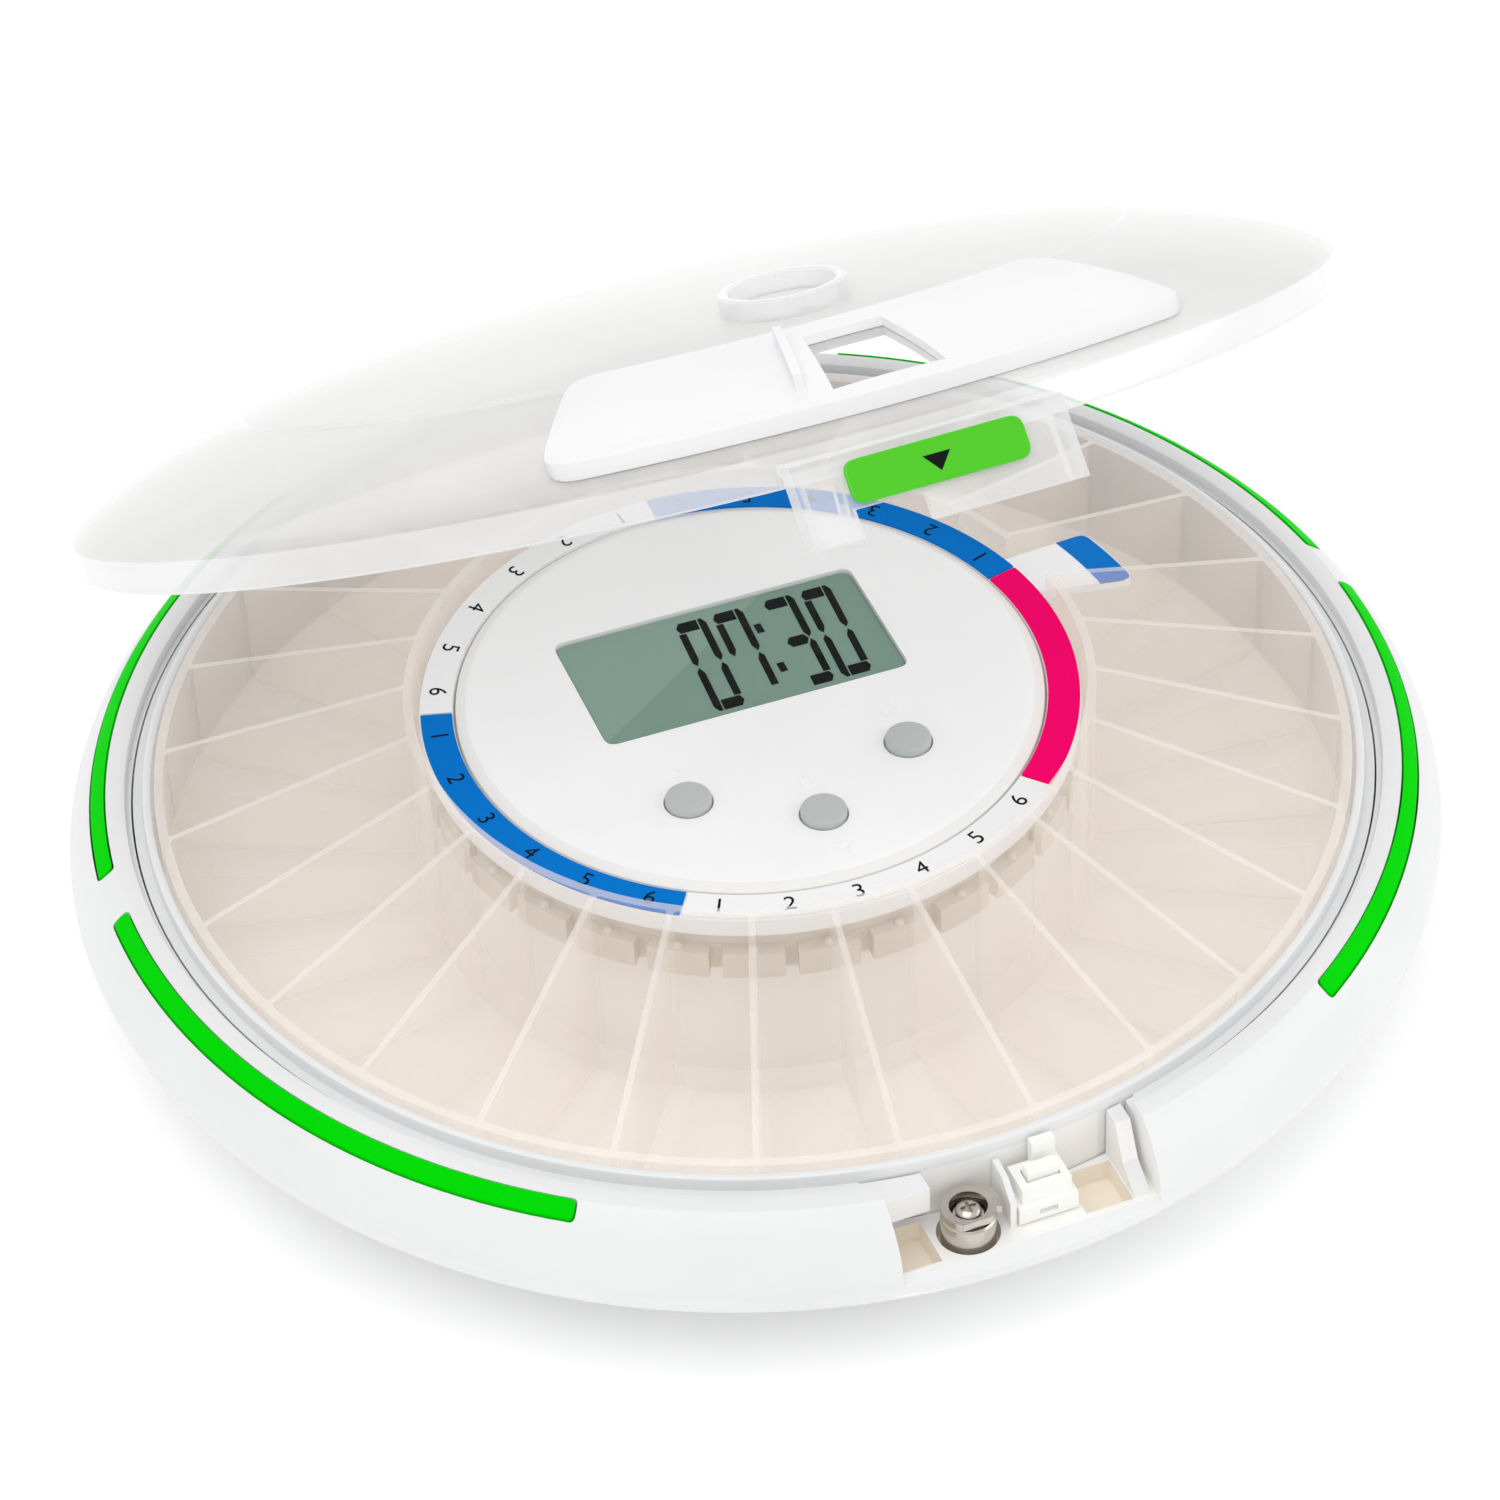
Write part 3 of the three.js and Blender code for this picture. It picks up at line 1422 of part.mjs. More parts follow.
function lockCam() {
  const disc = lockHole(barrelRadius, camBottom, camTop);
  const points = [[lockX, lockY]];
  for (let step = 0; step <= cornerSteps; step += 1) {
    const [x, y] = polar(camReach, camLugHalfAngle * (2 * step / cornerSteps - 1));
    points.push([lockX + x, lockY + y]);
  }
  return disc.add(prism(points, camBottom, camTop));
}

function camScrew() {
  const bottom = camTop + clearance;
  const top = bottom + camScrewHeight;
  const head = lockHole(camScrewRadius, bottom, top);
  return cut(head, crossCutters([lockX, lockY], top - crossDepth, top + overrun));
}

function latchBody() {
  const low = block(latchX, latchY, [bayFloor + clearance, latchLowTop]);
  const highX = [latchX[0] + latchStep, latchX[1] - latchStep];
  const highY = [latchY[0] + latchStep, latchY[1] - latchBackStep];
  const high = block(highX, highY, [bayFloor + clearance, latchTop]);
  const post = block(latchPostX, latchPostY, [bayFloor + clearance, latchPostTop]);
  const well = block(
    [plungerX[0] - clearance, plungerX[1] + clearance],
    [plungerY[0] - clearance, plungerY[1] + clearance],
    [latchWellBottom, latchTop + overrun],
  );
  const slotX = [middle(latchX) - latchSlotWidth * halfShare, middle(latchX) + latchSlotWidth * halfShare];
  const slotZ = middle([bayFloor, latchLowTop]);
  const slot = block(slotX, [latchY[0] - overrun, latchY[0] + latchSlotDepth],
    [slotZ - latchSlotHeight * halfShare, slotZ + latchSlotHeight * halfShare]);
  return cut(join([low, high, post]), [well, slot, wellCylinder(wellRadius + clearance)]);
}

function latchPlunger() {
  return block(plungerX, plungerY, [plungerBottom, plungerTop]);
}

// Materials

function plastic(colour, roughness) {
  return new THREE.MeshStandardMaterial({ color: colour, roughness, metalness: 0 });
}

function metal(colour, roughness) {
  return new THREE.MeshStandardMaterial({ color: colour, roughness, metalness: 1 });
}

function clearPlastic(colour, opacity) {
  return new THREE.MeshStandardMaterial({
    color: colour, roughness: 0.08, metalness: 0, transparent: true, opacity,
  });
}

const bodyWhite = () => plastic(0xf1f3f2, 0.32);
const consoleWhite = () => plastic(0xe9ebea, 0.5);
const labelWhite = () => plastic(0xf6f7f6, 0.4);
const labelPink = () => plastic(0xf7006e, 0.4);
const labelBlue = () => plastic(0x0080dc, 0.4);
const stripGreen = () => plastic(0x2bd413, 0.25);
const labelGreen = () => plastic(0x46d200, 0.3);
const buttonGrey = () => plastic(0xb2b8b6, 0.55);
const boardGreen = () => plastic(0x1c5a34, 0.6);
const darkPlastic = () => plastic(0x26282a, 0.55);
const rubberDark = () => plastic(0x3a3c3e, 0.9);
const cellBlue = () => plastic(0x2a3c6e, 0.4);
const screenSage = () => plastic(0x789484, 0.35);
const nylonWhite = () => plastic(0xeeece4, 0.5);
const nickel = () => metal(0xb9b6ae, 0.3);
const steel = () => metal(0x9a9c9e, 0.35);
const trayClear = () => clearPlastic(0xe8d9c2, 0.55);
const lidClear = () => clearPlastic(0xeef3f4, 0.3);
const lensClear = () => clearPlastic(0xdfe8e4, 0.25);
const stripNames = Object.keys(stripSpans);

// Assembly

function place(group, name, solid, material) {
  const mesh = new THREE.Mesh(toGeometry(solid), material);
  mesh.name = name;
  group.add(mesh);
}

function baseGroup() {
  const group = new THREE.Group();
  place(group, 'outer_shell', outerShell(), bodyWhite());
  place(group, 'base_cover', baseCover(), bodyWhite());
  place(group, 'tray_well', trayWell(), bodyWhite());
  rubberPlaces.forEach((spot, step) => {
    place(group, `rubber_foot_${step}`, rubberFoot(spot), rubberDark());
  });
  screwPlaces.forEach((spot, step) => {
    place(group, `housing_screw_${step}`, housingScrew(spot), steel());
  });
  place(group, 'battery_door', batteryDoor(), bodyWhite());
  place(group, 'door_screw', doorScrew(), steel());
  const centres = cellCentres();
  centres.forEach((x, step) => {
    const way = step % 2 === 0 ? 1 : -1;
    place(group, `battery_${step}`, battery(x, way), cellBlue());
  });
  for (let step = 0; step < cellCount; step += 1) {
    const first = step - step % 2;
    const side = step % 2 === 0 ? 1 : -1;
    const pair = [centres[first], centres[first + 1]];
    place(group, `battery_contact_${step}`, batteryContact(pair, side), steel());
  }
  place(group, 'drive_motor', driveMotor(), steel());
  place(group, 'motor_pinion', motorPinion(), nylonWhite());
  place(group, 'light_board', lightBoard(), boardGreen());
  for (const name of stripNames) {
    place(group, `light_guide_${name}`, lightGuide(name), stripGreen());
  }
  place(group, 'hinge_pin_left', hingePin(-1), steel());
  place(group, 'hinge_pin_right', hingePin(1), steel());
  return group;
}

function bayGroup() {
  const group = new THREE.Group();
  place(group, 'lock_barrel', lockBarrel(), nickel());
  place(group, 'lock_plug', lockPlug(), nickel());
  place(group, 'lock_cam', lockCam(), nickel());
  place(group, 'cam_screw', camScrew(), nickel());
  place(group, 'latch_body', latchBody(), nylonWhite());
  place(group, 'latch_plunger', latchPlunger(), nylonWhite());
  return group;
}

function consoleGroup() {
  const group = new THREE.Group();
  place(group, 'console_housing', consoleHousing(), consoleWhite());
  place(group, 'display_lens', displayLens(), lensClear());
  place(group, 'display_module', displayModule(), screenSage());
  place(group, 'main_board', mainBoard(), boardGreen());
  place(group, 'buzzer', buzzer(), darkPlastic());
  for (const [name, spot] of Object.entries(buttonPlaces)) {
    place(group, `button_${name}`, button(spot), buttonGrey());
  }
  group.rotation.z = consoleTurn * degree;
  return group;
}

function carouselGroup() {
  const group = new THREE.Group();
  place(group, 'drive_ring', driveRing(), nylonWhite());
  place(group, 'pill_tray', pillTray(), trayClear());
  place(group, 'dosage_ring', dosageRing(), bodyWhite());
  place(group, 'dose_label_pink', doseSector(dosePinkSpan), labelPink());
  doseBlueSpans.forEach((span, step) => {
    place(group, `dose_label_blue_${step}`, doseSector(span), labelBlue());
  });
  doseWhiteSpans.forEach((span, step) => {
    place(group, `dose_label_white_${step}`, doseSector(span), labelWhite());
  });
  group.rotation.z = trayTurn * degree;
  return group;
}

function lidGroup() {
  const closed = new THREE.Group();
  place(closed, 'lid_shell', lidShell(), lidClear());
  place(closed, 'lid_panel', lidPanel(), bodyWhite());
  place(closed, 'press_label', pressLabel(), labelGreen());
  closed.position.set(0, -hingeY, -hingeZ);
  const open = new THREE.Group();
  open.add(closed);
  open.rotation.x = -lidOpenAngle * degree;
  open.position.set(0, hingeY, hingeZ);
  return open;
}

const pillBox = new THREE.Group();
pillBox.add(baseGroup(), bayGroup(), consoleGroup(), carouselGroup(), lidGroup());

export default pillBox;
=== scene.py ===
import bpy
import bmesh
import math
from mathutils import Matrix, Vector


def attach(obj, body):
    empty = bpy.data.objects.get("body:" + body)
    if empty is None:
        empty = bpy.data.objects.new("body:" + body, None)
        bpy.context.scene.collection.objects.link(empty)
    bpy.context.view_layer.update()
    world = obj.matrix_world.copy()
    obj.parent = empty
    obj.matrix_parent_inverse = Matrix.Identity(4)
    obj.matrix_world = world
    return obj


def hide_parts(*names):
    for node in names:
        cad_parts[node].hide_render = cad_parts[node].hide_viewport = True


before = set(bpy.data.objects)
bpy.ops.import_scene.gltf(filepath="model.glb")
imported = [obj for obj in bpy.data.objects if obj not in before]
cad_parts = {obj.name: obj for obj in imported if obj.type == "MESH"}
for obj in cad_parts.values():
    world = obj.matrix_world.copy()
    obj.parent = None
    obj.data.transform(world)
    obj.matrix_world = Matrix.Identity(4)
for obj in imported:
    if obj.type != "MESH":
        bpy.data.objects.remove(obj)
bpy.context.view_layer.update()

# Units, and how finely curves are drawn
MM = 0.001
TURN = 360.0
QUARTER = 90.0
FRONT = -90.0
HALF = 0.5
MATRIX_SIZE = 4
FINE = 192
SMOOTH = 64
ROUND = 48
CURVE_STEPS = 5
ARC_STEP = 1.5
WELD = 1e-7

# Play between pieces, how far cutters reach past, and how deep joined skins sink in
GAP = 0.3
OVERRUN = 5.0
SHORT_OVERRUN = 1.0
SINK = 0.06

# Angles above which an edge stays sharp, and the widths of soft edges
SHARP = 30.0
SHARP_SKIN = 28.0
SHARP_TRAY = 35.0
SHARP_SCREW = 40.0
BEVEL_STEPS = 2
EDGE_HAIR = 0.1
EDGE_FINE = 0.12
EDGE_PLAIN = 0.15
EDGE_SOFT = 0.2
EDGE_ROUND = 0.25

# Body sizes in millimetres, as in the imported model
BODY_RADIUS = 111.3
WAIST = 22.2
SHOULDER_RUN = 20.3
SHOULDER_RISE = 15.1
SHOULDER_RADIUS = 104.5
SHOULDER_CROWN = 0.13
FOOT_RADIUS = 88.0
GROUND_GAP = 0.8
FLANK_DROPS = (4.6, 13.0)
FLANK_SETBACK = 7.8
FLANK_START = 0.2
FLANK_STEPS = 15
SHOULDER_STEPS = 14
SHELL_WALL = 2.2
GROOVE_RADIUS = 101.2
GROOVE_DEPTH = 1.9
SEAM_RADIUS = 100.4
LIP_THICKNESS = 1.6
COVER_RADIUS = 86.0
COVER_TOP = 3.2
LEDGE_RADIUS = 84.0
LEDGE_TOP = 5.3

# Tray well
WELL_RADIUS = 98.5
WELL_WALL = 1.5
WELL_LIP = 34.0
WELL_BOTTOM = 5.6
WELL_FLOOR_TOP = 7.2
WELL_SLOPE_RISE = 5.3
WELL_SLOPE_RUN = 8.5
WELL_SLOPE_LIFT = 1.0
TOWER_RADIUS = 48.6
TOWER_WALL = 1.6
TOWER_TOP = 31.1
LIP_ROUND = 0.45
LIP_EASE = 0.3

# Pill tray
POCKETS = 28
PITCH = TURN / POCKETS
TRAY_TURN = -86.1
TRAY_FACETS = POCKETS * 8
TRAY_RADIUS = 96.4
TRAY_WALL = 1.5
TRAY_BOTTOM = 7.6
TRAY_FLOOR_TOP = 9.0
TRAY_RIM = 34.8
TRAY_INNER = 54.0
TRAY_INNER_WALL = 1.4
TRAY_CROWN = 47.0
DIVIDER = 1.0
POCKET_CORNER = 0.7
POCKET_SCOOP = 3.2
SCOOP_STEPS = 4
TRAY_SLOPE_TOP = 12.1
TRAY_SLOPE_FOOT = 89.2
POCKET_SLOPE_TOP = 12.8
POCKET_SLOPE_FOOT = 88.8
TAB_POCKET = 7
# Which faces get the painted highlight on the tray's crests: how far up they face and how far below the rim
# they may lie
CREST_FACING = 0.6
CREST_DROP = 1.0

# Drive ring
DRIVE_FLANGE = (46.5, 53.0)
DRIVE_HEIGHTS = (31.4, 36.3)
DRIVE_NECK = 50.5
DRIVE_TOP = 41.8
NOTCH_WIDTH = 2.1
NOTCH_DEPTH = 2.3
RING_FACETS = POCKETS * 6
STUD_RADIUS = 0.85
STUD_INSET = 1.4
STUD_STEPS = 4
STUD_FACETS = 16
GEAR_TEETH = 42
GEAR_HEIGHT = 2.0
GEAR_SHARES = (0.46, 0.22)
GEAR_BAND = 1.0
MOTOR_ANGLE = -60.0

# Dosage ring
DOSE_RADII = (47.6, 53.0)
DOSE_TOP = 43.7
DOSE_THICKNESS = 1.6
DOSE_RIM = (51.6, 40.3)
DOSE_LABEL = 0.3
DOSE_MARGIN = 0.15
DOSE_BEVEL = 0.3
DOSE_TAB_REACH = 71.0
DOSE_TAB_DROP = 4.4
DOSE_TAB_ROOT = 1.5
DOSE_TAB_CORNER = 1.5
DOSE_TAB_PLAY = 1.5
DOSE_TAB_BAND = 64.6
DOSE_BAND_INSET = 0.2
DOSE_BAND_RISE = 0.06
NUMERAL_SIZE = 4.1
NUMERAL_DEPTH = 0.01
NUMERAL_RISE = 0.02
DOSE_SPANS = {
    "dose_label_pink": (-49.2, 12.4),
    "dose_label_blue_0": (12.4, 87.0),
    "dose_label_white_0": (87.0, 161.8),
    "dose_label_blue_1": (161.8, 236.2),
    "dose_label_white_1": (236.2, 310.8),
}
DOSE_STEPS = 6

# Console
CONSOLE_TURN = -1.5
CONSOLE_TOP = 44.9
CONSOLE_FACE = 45.0
CONSOLE_RADIUS = 47.2
CONSOLE_BEVEL = 0.9
CONSOLE_CROWN = ((-0.6, 0.0), (0.0, -0.08), (0.6, -0.28))
CONSOLE_BROW = ((-0.25, 0.1), (0.0, -0.15))
CONSOLE_EDGE = 1.2
CONSOLE_PLATE = 2.0
SKIRT = (44.6, 46.1)
SKIRT_BOTTOM = 38.5
WINDOW = (51.6, 27.0)
WINDOW_OFFSET = 8.8
WINDOW_CORNER = 2.0
LENS_RECESS = 0.15
LENS_FLANGE = 1.4
LENS_PLATE = 0.35
SCREEN_TOP = 41.6
GLASS_TOP = 44.3
MODULE_MARGIN = 1.0
# Where the painted reflection on the display ends: the slanting line's direction and place
SHEEN_NORMAL = (0.5554, -0.8318, 0.0)
SHEEN_PLACE = -12.25
MODULE_BOTTOM = 38.7
BUTTON_RADIUS = 3.65
BUTTON_PROUD = 1.5
BUTTON_ROUND = 0.5
BUTTON_STEPS = 3
BUTTON_DROPS = (0.05, 0.2)
BUTTON_FLANGE = (1.0, 1.2)
BUTTON_STEM = (1.6, 39.4)
BUTTONS = {"left": (-18.5, -22.0), "middle": (0.0, -32.7), "right": (18.5, -22.0)}

# Raised marks beside the buttons: place, number of sides, first corner's angle and radius
MARKS = (((-18.1, -14.9), 3, 90.0, 1.9), ((0.4, -41.1), 3, 270.0, 1.9),
         ((0.3, -24.9), 4, 45.0, 1.52), ((18.7, -13.8), 24, 0.0, 1.52))
MARK_HOLE = 0.72
MARK_RISE = 0.16
FILM = 0.03

# Light strips
STRIP_INNER = 104.6
STRIP_WIDTH = 2.3
STRIP_PROUD = 0.25
STRIP_CORNER = 0.9
STRIP_MARGIN = 2.0
STRIP_STEPS = 6
STRIP_BOTTOM = 28.2
STRIP_SPANS = {
    "front_right": (-55.0, 0.0),
    "front_left": (180.0, 235.0),
    "back_right": (5.9, 61.0),
    "back_left": (119.0, 174.2),
}

# Lid, drawn closed and then turned open about its hinge
LID_RADIUS = 100.4
LID_WALL = 1.5
LID_ROUND = 0.4
LID_RIM = (34.3, 39.3)
DOME_HEIGHT = 17.6
DOME_POWERS = (2.4, 1.39)
DOME_RINGS = 30
DOME_STEP = 0.45
DOME_STEP_SHARES = (0.6975, 0.7025)
HINGE = (102.4, 38.05)
LID_OPEN = 32.2
HINGE_OFFSET = 15.0
BARREL_WIDTH = 5.4
BARREL_RADIUS = 2.1
HINGE_ARM_Y = 98.3
HINGE_ARM_HEIGHT = 2.4
PIN_RADIUS = 1.0
LUG_WIDTH = 3.0
LUG_STEPS = 12
BOSS_Y = -54.0
BOSS_RADIUS = 9.6
BOSS_WALL = 1.6
BOSS_RISE = 3.0
BOSS_ROUND = 0.35
BOSS_TILT = 8.0
LID_CEILING = LID_RIM[1] + DOME_HEIGHT + OVERRUN

# White panel and chute
PANEL = (71.0, 98.3)
PANEL_HALF_ANGLE = 30.3
PANEL_THICKNESS = 1.3
PANEL_RIM = 2.2
PANEL_RIM_WIDTH = 1.2
PANEL_SWELL = 1.5
PANEL_START = 0.94
PANEL_ROUND = 0.55
PANEL_ROUND_STEPS = 4
PANEL_CORNER = 5.0
CHUTE_Y = (-76.0, -94.0)
CHUTE_INNER_X = (-5.5, 6.5)
CHUTE_OUTER_X = (-8.4, 8.6)
FIN_THICKNESS = 1.3
FIN_HEIGHT = 3.4
FIN_INNER = (-8.6, -75.0)
FIN_OUTER = (-12.3, -91.7)

# Front tab
TAB_HALF = 20.4
TAB_TOP = (-104.2, 37.8)
TAB_BOTTOM = (-108.2, 26.2)
TAB_PLATE = 1.5
TAB_WALL = 1.7
TAB_ROOT = -97.5
CHEEK = (1.8, 2.8)
TAB_NOTCH = (-13.2, -2.8)
TAB_NOTCH_HEIGHT = 4.0
STRIKER = ((2.5, 6.0), (-103.6, -101.6), 30.8)
CATCH = ((-14.6, -13.4), (-104.8, -103.0), 24.9)
CATCH_FOOT = (-12.5, 1.3)
LABEL_HALF = 13.4
LABEL_HEIGHTS = (30.6, 36.6)
LABEL_THICKNESS = 0.7
LABEL_CORNER = 2.0
LABEL_ROUND = 0.6
LABEL_ROUND_STEPS = 5
LABEL_MARK = (3, 1.7, 270.0)
LABEL_MARK_STRETCH = 1.4

# Lock bay
BAY_HALF = 20.9
BAY_WALL = 1.5
BAY_FLOOR = 22.5
BAY_NOTCH_DROP = 2.1
BAY_FRONT = -108.5
BAY_CHAMFER = (4.0, 2.8)
PARTITION = ((-2.0, -1.0), -105.5, 4.8)
PARTITION_KNEE = (-102.5, 30.0)
BAY_LEDGE = ((-20.9, -13.2), -101.4, 27.0)
BAY_UNDERSIDE = 16.8
BAY_POCKET_FRONT = -107.5
BAY_POCKETS = (((-20.3, -13.9), 18.6), ((9.5, 17.2), 18.6))
LOCK_SEAT = (4.85, 19.4)
POCKET_WALL = ((17.4, 19.9), -103.2, -100.2, 3.7)
LOCK = (-8.0, -103.6)
BARREL = (4.2, 26.4)
BARREL_FOOT = 12.0
BARREL_EDGE = 0.3
PLUG_RADIUS = 2.4
PLUG_FOOT = 14.4
PLUG_DROP = 0.4
CAM = (26.7, 28.0)
CAM_REACH = 5.0
CAM_LUG = (-26, -13, 0, 13, 26)
CAM_BORE = 2.9
CAM_FLAT = 3.5
SCREW_SINK = 0.1
SCREW_HEAD = ((0.0, 1.6), (2.0, 1.6), (2.0, 0.7), (1.7, 0.35), (1.0, 0.1), (0.0, 0.0))
SCREW_FACETS = 40
SCREW_SLOT = (1.25, 0.26)
SCREW_SLOT_DEPTH = 0.8

# Camera, worked out from the photograph
FOCAL_SHARE = 3.4
CAMERA_ELEVATION = 41.24
CAMERA_AZIMUTH = -20.62
CAMERA_ROLL = -2.42
CAMERA_DISTANCE = 850.0
CAMERA_OFFSET = (0.35, 28.29)
CAMERA_DATUM = 6.0
SENSOR = 36.0

# Floor in millimetres; lights in metres and watts: place, size and power
FLOOR = (3000.0, 2.0)
SKY_STRENGTH = 0.8
LIGHT_TARGET = (0.0, 0.0, 0.04)
LIGHTS = {
    "key": ((-0.25, -0.25, 1.0), (0.8, 0.8), 3.2),
    "fill": ((0.9, -0.4, 0.5), (0.9, 0.5), 1.5),
    "back": ((0.1, 1.0, 0.5), (1.2, 0.4), 1.1),
}
CLEAR_BOUNCES = 40
LIGHT_BOUNCES = 12

# Finishes: how colour and roughness vary, noise scales, and the grain's depth and strength
RAMP_ENDS = (0.35, 0.65)
NOISE_ENDS = (0.3, 0.7)
NOISE_DETAIL = 3.0
GRAIN_DETAIL = 4.0
COAT_ROUGHNESS = 0.08
PLASTIC_SPREAD = 0.015
PLASTIC_WEAR = 0.15
PLASTIC_SCALES = (35.0, 60.0)
PLASTIC_GRAIN = 900.0
PLASTIC_BUMP = (0.02, 0.25)
PLASTIC_GLOSS = 0.5
METAL_SPREAD = 0.05
METAL_WEAR = 0.3
METAL_SCALES = (120.0, 220.0, 700.0)
METAL_BUMP = (0.004, 0.1)
CLEAR_SPREAD = 0.02
CLEAR_WEAR = 0.2
CLEAR_SCALES = (30.0, 90.0, 60.0)
CLEAR_BUMP = (0.05, 0.12)
CLEAR_POWER = 3.0
CLEAR_INDEX = 1.49
SCREEN_SPREAD = 0.004
SCREEN_ROUGHNESS = (0.28, 0.32)
SCREEN_SCALES = (400.0, 400.0, 2500.0)
SCREEN_BUMP = (0.01, 0.1)
SCREEN_GLOSS = 0.3
LABEL_GRAIN = 300.0
BUTTON_GRAIN = 1400.0


# Mesh making

def polar(radius, angle):
    return (radius * math.cos(math.radians(angle)), radius * math.sin(math.radians(angle)))


def polygon(sides, radius, start=0.0):
    return [polar(radius, start + TURN * step / sides) for step in range(sides)]


def shifted(points, place):
    return [(x + place[0], y + place[1]) for x, y in points]


def rotation(angle, axis):
    return Matrix.Rotation(math.radians(angle), MATRIX_SIZE, axis)


def turned(thing, angle, axis):
    thing.data.transform(rotation(angle, axis))
    return thing


def moved(thing, place):
    thing.data.transform(Matrix.Translation(Vector(place) * MM))
    return thing


def link(name, data):
    thing = bpy.data.objects.new(name, data)
    bpy.context.scene.collection.objects.link(thing)
    return thing


def finished_mesh(thing):
    """The mesh that an object has once its modifiers are applied."""
    graph = bpy.context.evaluated_depsgraph_get()
    return bpy.data.meshes.new_from_object(thing.evaluated_get(graph))


def solid(points, faces):
    """A closed mesh of points in millimetres, welded and with its faces turned outward."""
    mesh = bpy.data.meshes.new("solid")
    mesh.from_pydata([Vector(p) * MM for p in points], [], faces)
    mesh.validate()
    work = bmesh.new()
    work.from_mesh(mesh)
    bmesh.ops.remove_doubles(work, verts=work.verts, dist=WELD)
    bmesh.ops.recalc_face_normals(work, faces=work.faces)
    work.to_mesh(mesh)
    work.free()
    return link("solid", mesh)


def lathe(profile, segments=FINE, start=0.0, centre=(0.0, 0.0)):
    """A closed profile of (radius, height) turned about the vertical."""
    points = []
    for step in range(segments):
        angle = start + TURN * step / segments
        for radius, height in profile:
            x, y = polar(radius, angle)
            points.append((x + centre[0], y + centre[1], height))
    count = len(profile)
    faces = []
    for step in range(segments):
        here = step * count
        there = (step + 1) % segments * count
        for place in range(count):
            after = (place + 1) % count
            if profile[place][0] or profile[after][0]:
                faces.append((here + place, there + place, there + after, here + after))
    return solid(points, faces)


def drum(radius, low, high):
    return lathe([(0.0, low), (radius, low), (radius, high), (0.0, high)])


def prism(outline, bottom, top):
    count = len(outline)
    points = [(x, y, height) for height in (bottom, top) for x, y in outline]
    faces = [tuple(range(count))[::-1], tuple(range(count, 2 * count))]
    for place in range(count):
        after = (place + 1) % count
        faces.append((place, after, after + count, place + count))
    return solid(points, faces)


def sideways(outline, span):
    """An outline of (y, z) points stretched along X."""
    thing = prism(outline, *span)
    thing.data.transform(Matrix(((0, 0, 1, 0), (1, 0, 0, 0), (0, 1, 0, 0), (0, 0, 0, 1))))
    return thing


def block(xs, ys, zs):
    return prism([(xs[0], ys[0]), (xs[1], ys[0]), (xs[1], ys[1]), (xs[0], ys[1])], *zs)


def rod(radius, bottom, top, centre=(0.0, 0.0), segments=ROUND):
    return prism(shifted(polygon(segments, radius), centre), bottom, top)


def cross_rod(radius, xs, place):
    return sideways(shifted(polygon(ROUND, radius), place), xs)


def combine(base, others, operation):
    """Joins, cuts or crosses base with other solids, which are used up."""
    for other in others:
        change = base.modifiers.new("change", "BOOLEAN")
        change.operation = operation
        change.solver = "EXACT"
        change.object = other
        mesh = finished_mesh(base)
        base.modifiers.clear()
        base.data = mesh
        bpy.data.objects.remove(other)
    return base


def cut(base, *others):
    return combine(base, others, "DIFFERENCE")


def join(base, *others):
    return combine(base, others, "UNION")


def cross(base, other):
    return combine(base, [other], "INTERSECT")


def merge_loose(things):
    """Puts separate solids that don't touch into one mesh."""
    work = bmesh.new()
    for thing in things:
        work.from_mesh(thing.data)
        bpy.data.objects.remove(thing)
    mesh = bpy.data.meshes.new("merged")
    work.to_mesh(mesh)
    work.free()
    return link("merged", mesh)


def corner_curve(start, corner, end):
    points = []
    for step in range(CURVE_STEPS + 1):
        t = step / CURVE_STEPS
        points.append(tuple(
            a * (1 - t) ** 2 + 2 * b * t * (1 - t) + c * t * t for a, b, c in zip(start, corner, end)))
    return points


def arc_between(radius, span, trim):
    start = span[0] + trim
    sweep = span[1] - span[0] - 2 * trim
    steps = max(1, round(sweep / ARC_STEP))
    return [polar(radius, start + sweep * step / steps) for step in range(1, steps)]


def sector(inner, outer, span, corner, inset=0.0):
    """A ring sector with rounded corners, its straight sides set in by inset."""
    def lean(radius):
        return math.degrees(math.asin(inset / radius))

    def at(radius, side, extra=0.0):
        shift = lean(radius) + extra
        return polar(radius, span[0] + shift if side == 0 else span[1] - shift)

    def bend(radius):
        return math.degrees(corner / radius)

    points = corner_curve(at(outer - corner, 0), at(outer, 0), at(outer, 0, bend(outer)))
    points += arc_between(outer, span, lean(outer) + bend(outer))
    points += corner_curve(at(outer, 1, bend(outer)), at(outer, 1), at(outer - corner, 1))
    points += corner_curve(at(inner + corner, 1), at(inner, 1), at(inner, 1, bend(inner)))
    points += arc_between(inner, span, lean(inner) + bend(inner))[::-1]
    points += corner_curve(at(inner, 0, bend(inner)), at(inner, 0), at(inner + corner, 0))
    return points


def rounded_rectangle(half, low, high, corner, centre=0.0):
    right, left = centre + half, centre - half
    return (corner_curve((right - corner, low), (right, low), (right, low + corner))
            + corner_curve((right, high - corner), (right, high), (right - corner, high))
            + corner_curve((left + corner, high), (left, high), (left, high - corner))
            + corner_curve((left, low + corner), (left, low), (left + corner, low)))


def offset_line(points, distance):
    line = []
    for place, point in enumerate(points):
        before = points[max(place - 1, 0)]
        after = points[min(place + 1, len(points) - 1)]
        run = math.hypot(after[0] - before[0], after[1] - before[1])
        along = ((after[0] - before[0]) / run, (after[1] - before[1]) / run)
        line.append((point[0] + along[1] * distance, point[1] - along[0] * distance))
    return line


def lip(wall, top, side):
    """The rounded corner between an upright wall and a level top that lies to its side."""
    round_off = side * LIP_ROUND
    return [(wall, top - LIP_ROUND), (wall + round_off * LIP_EASE, top - LIP_ROUND * LIP_EASE),
            (wall + round_off, top)]


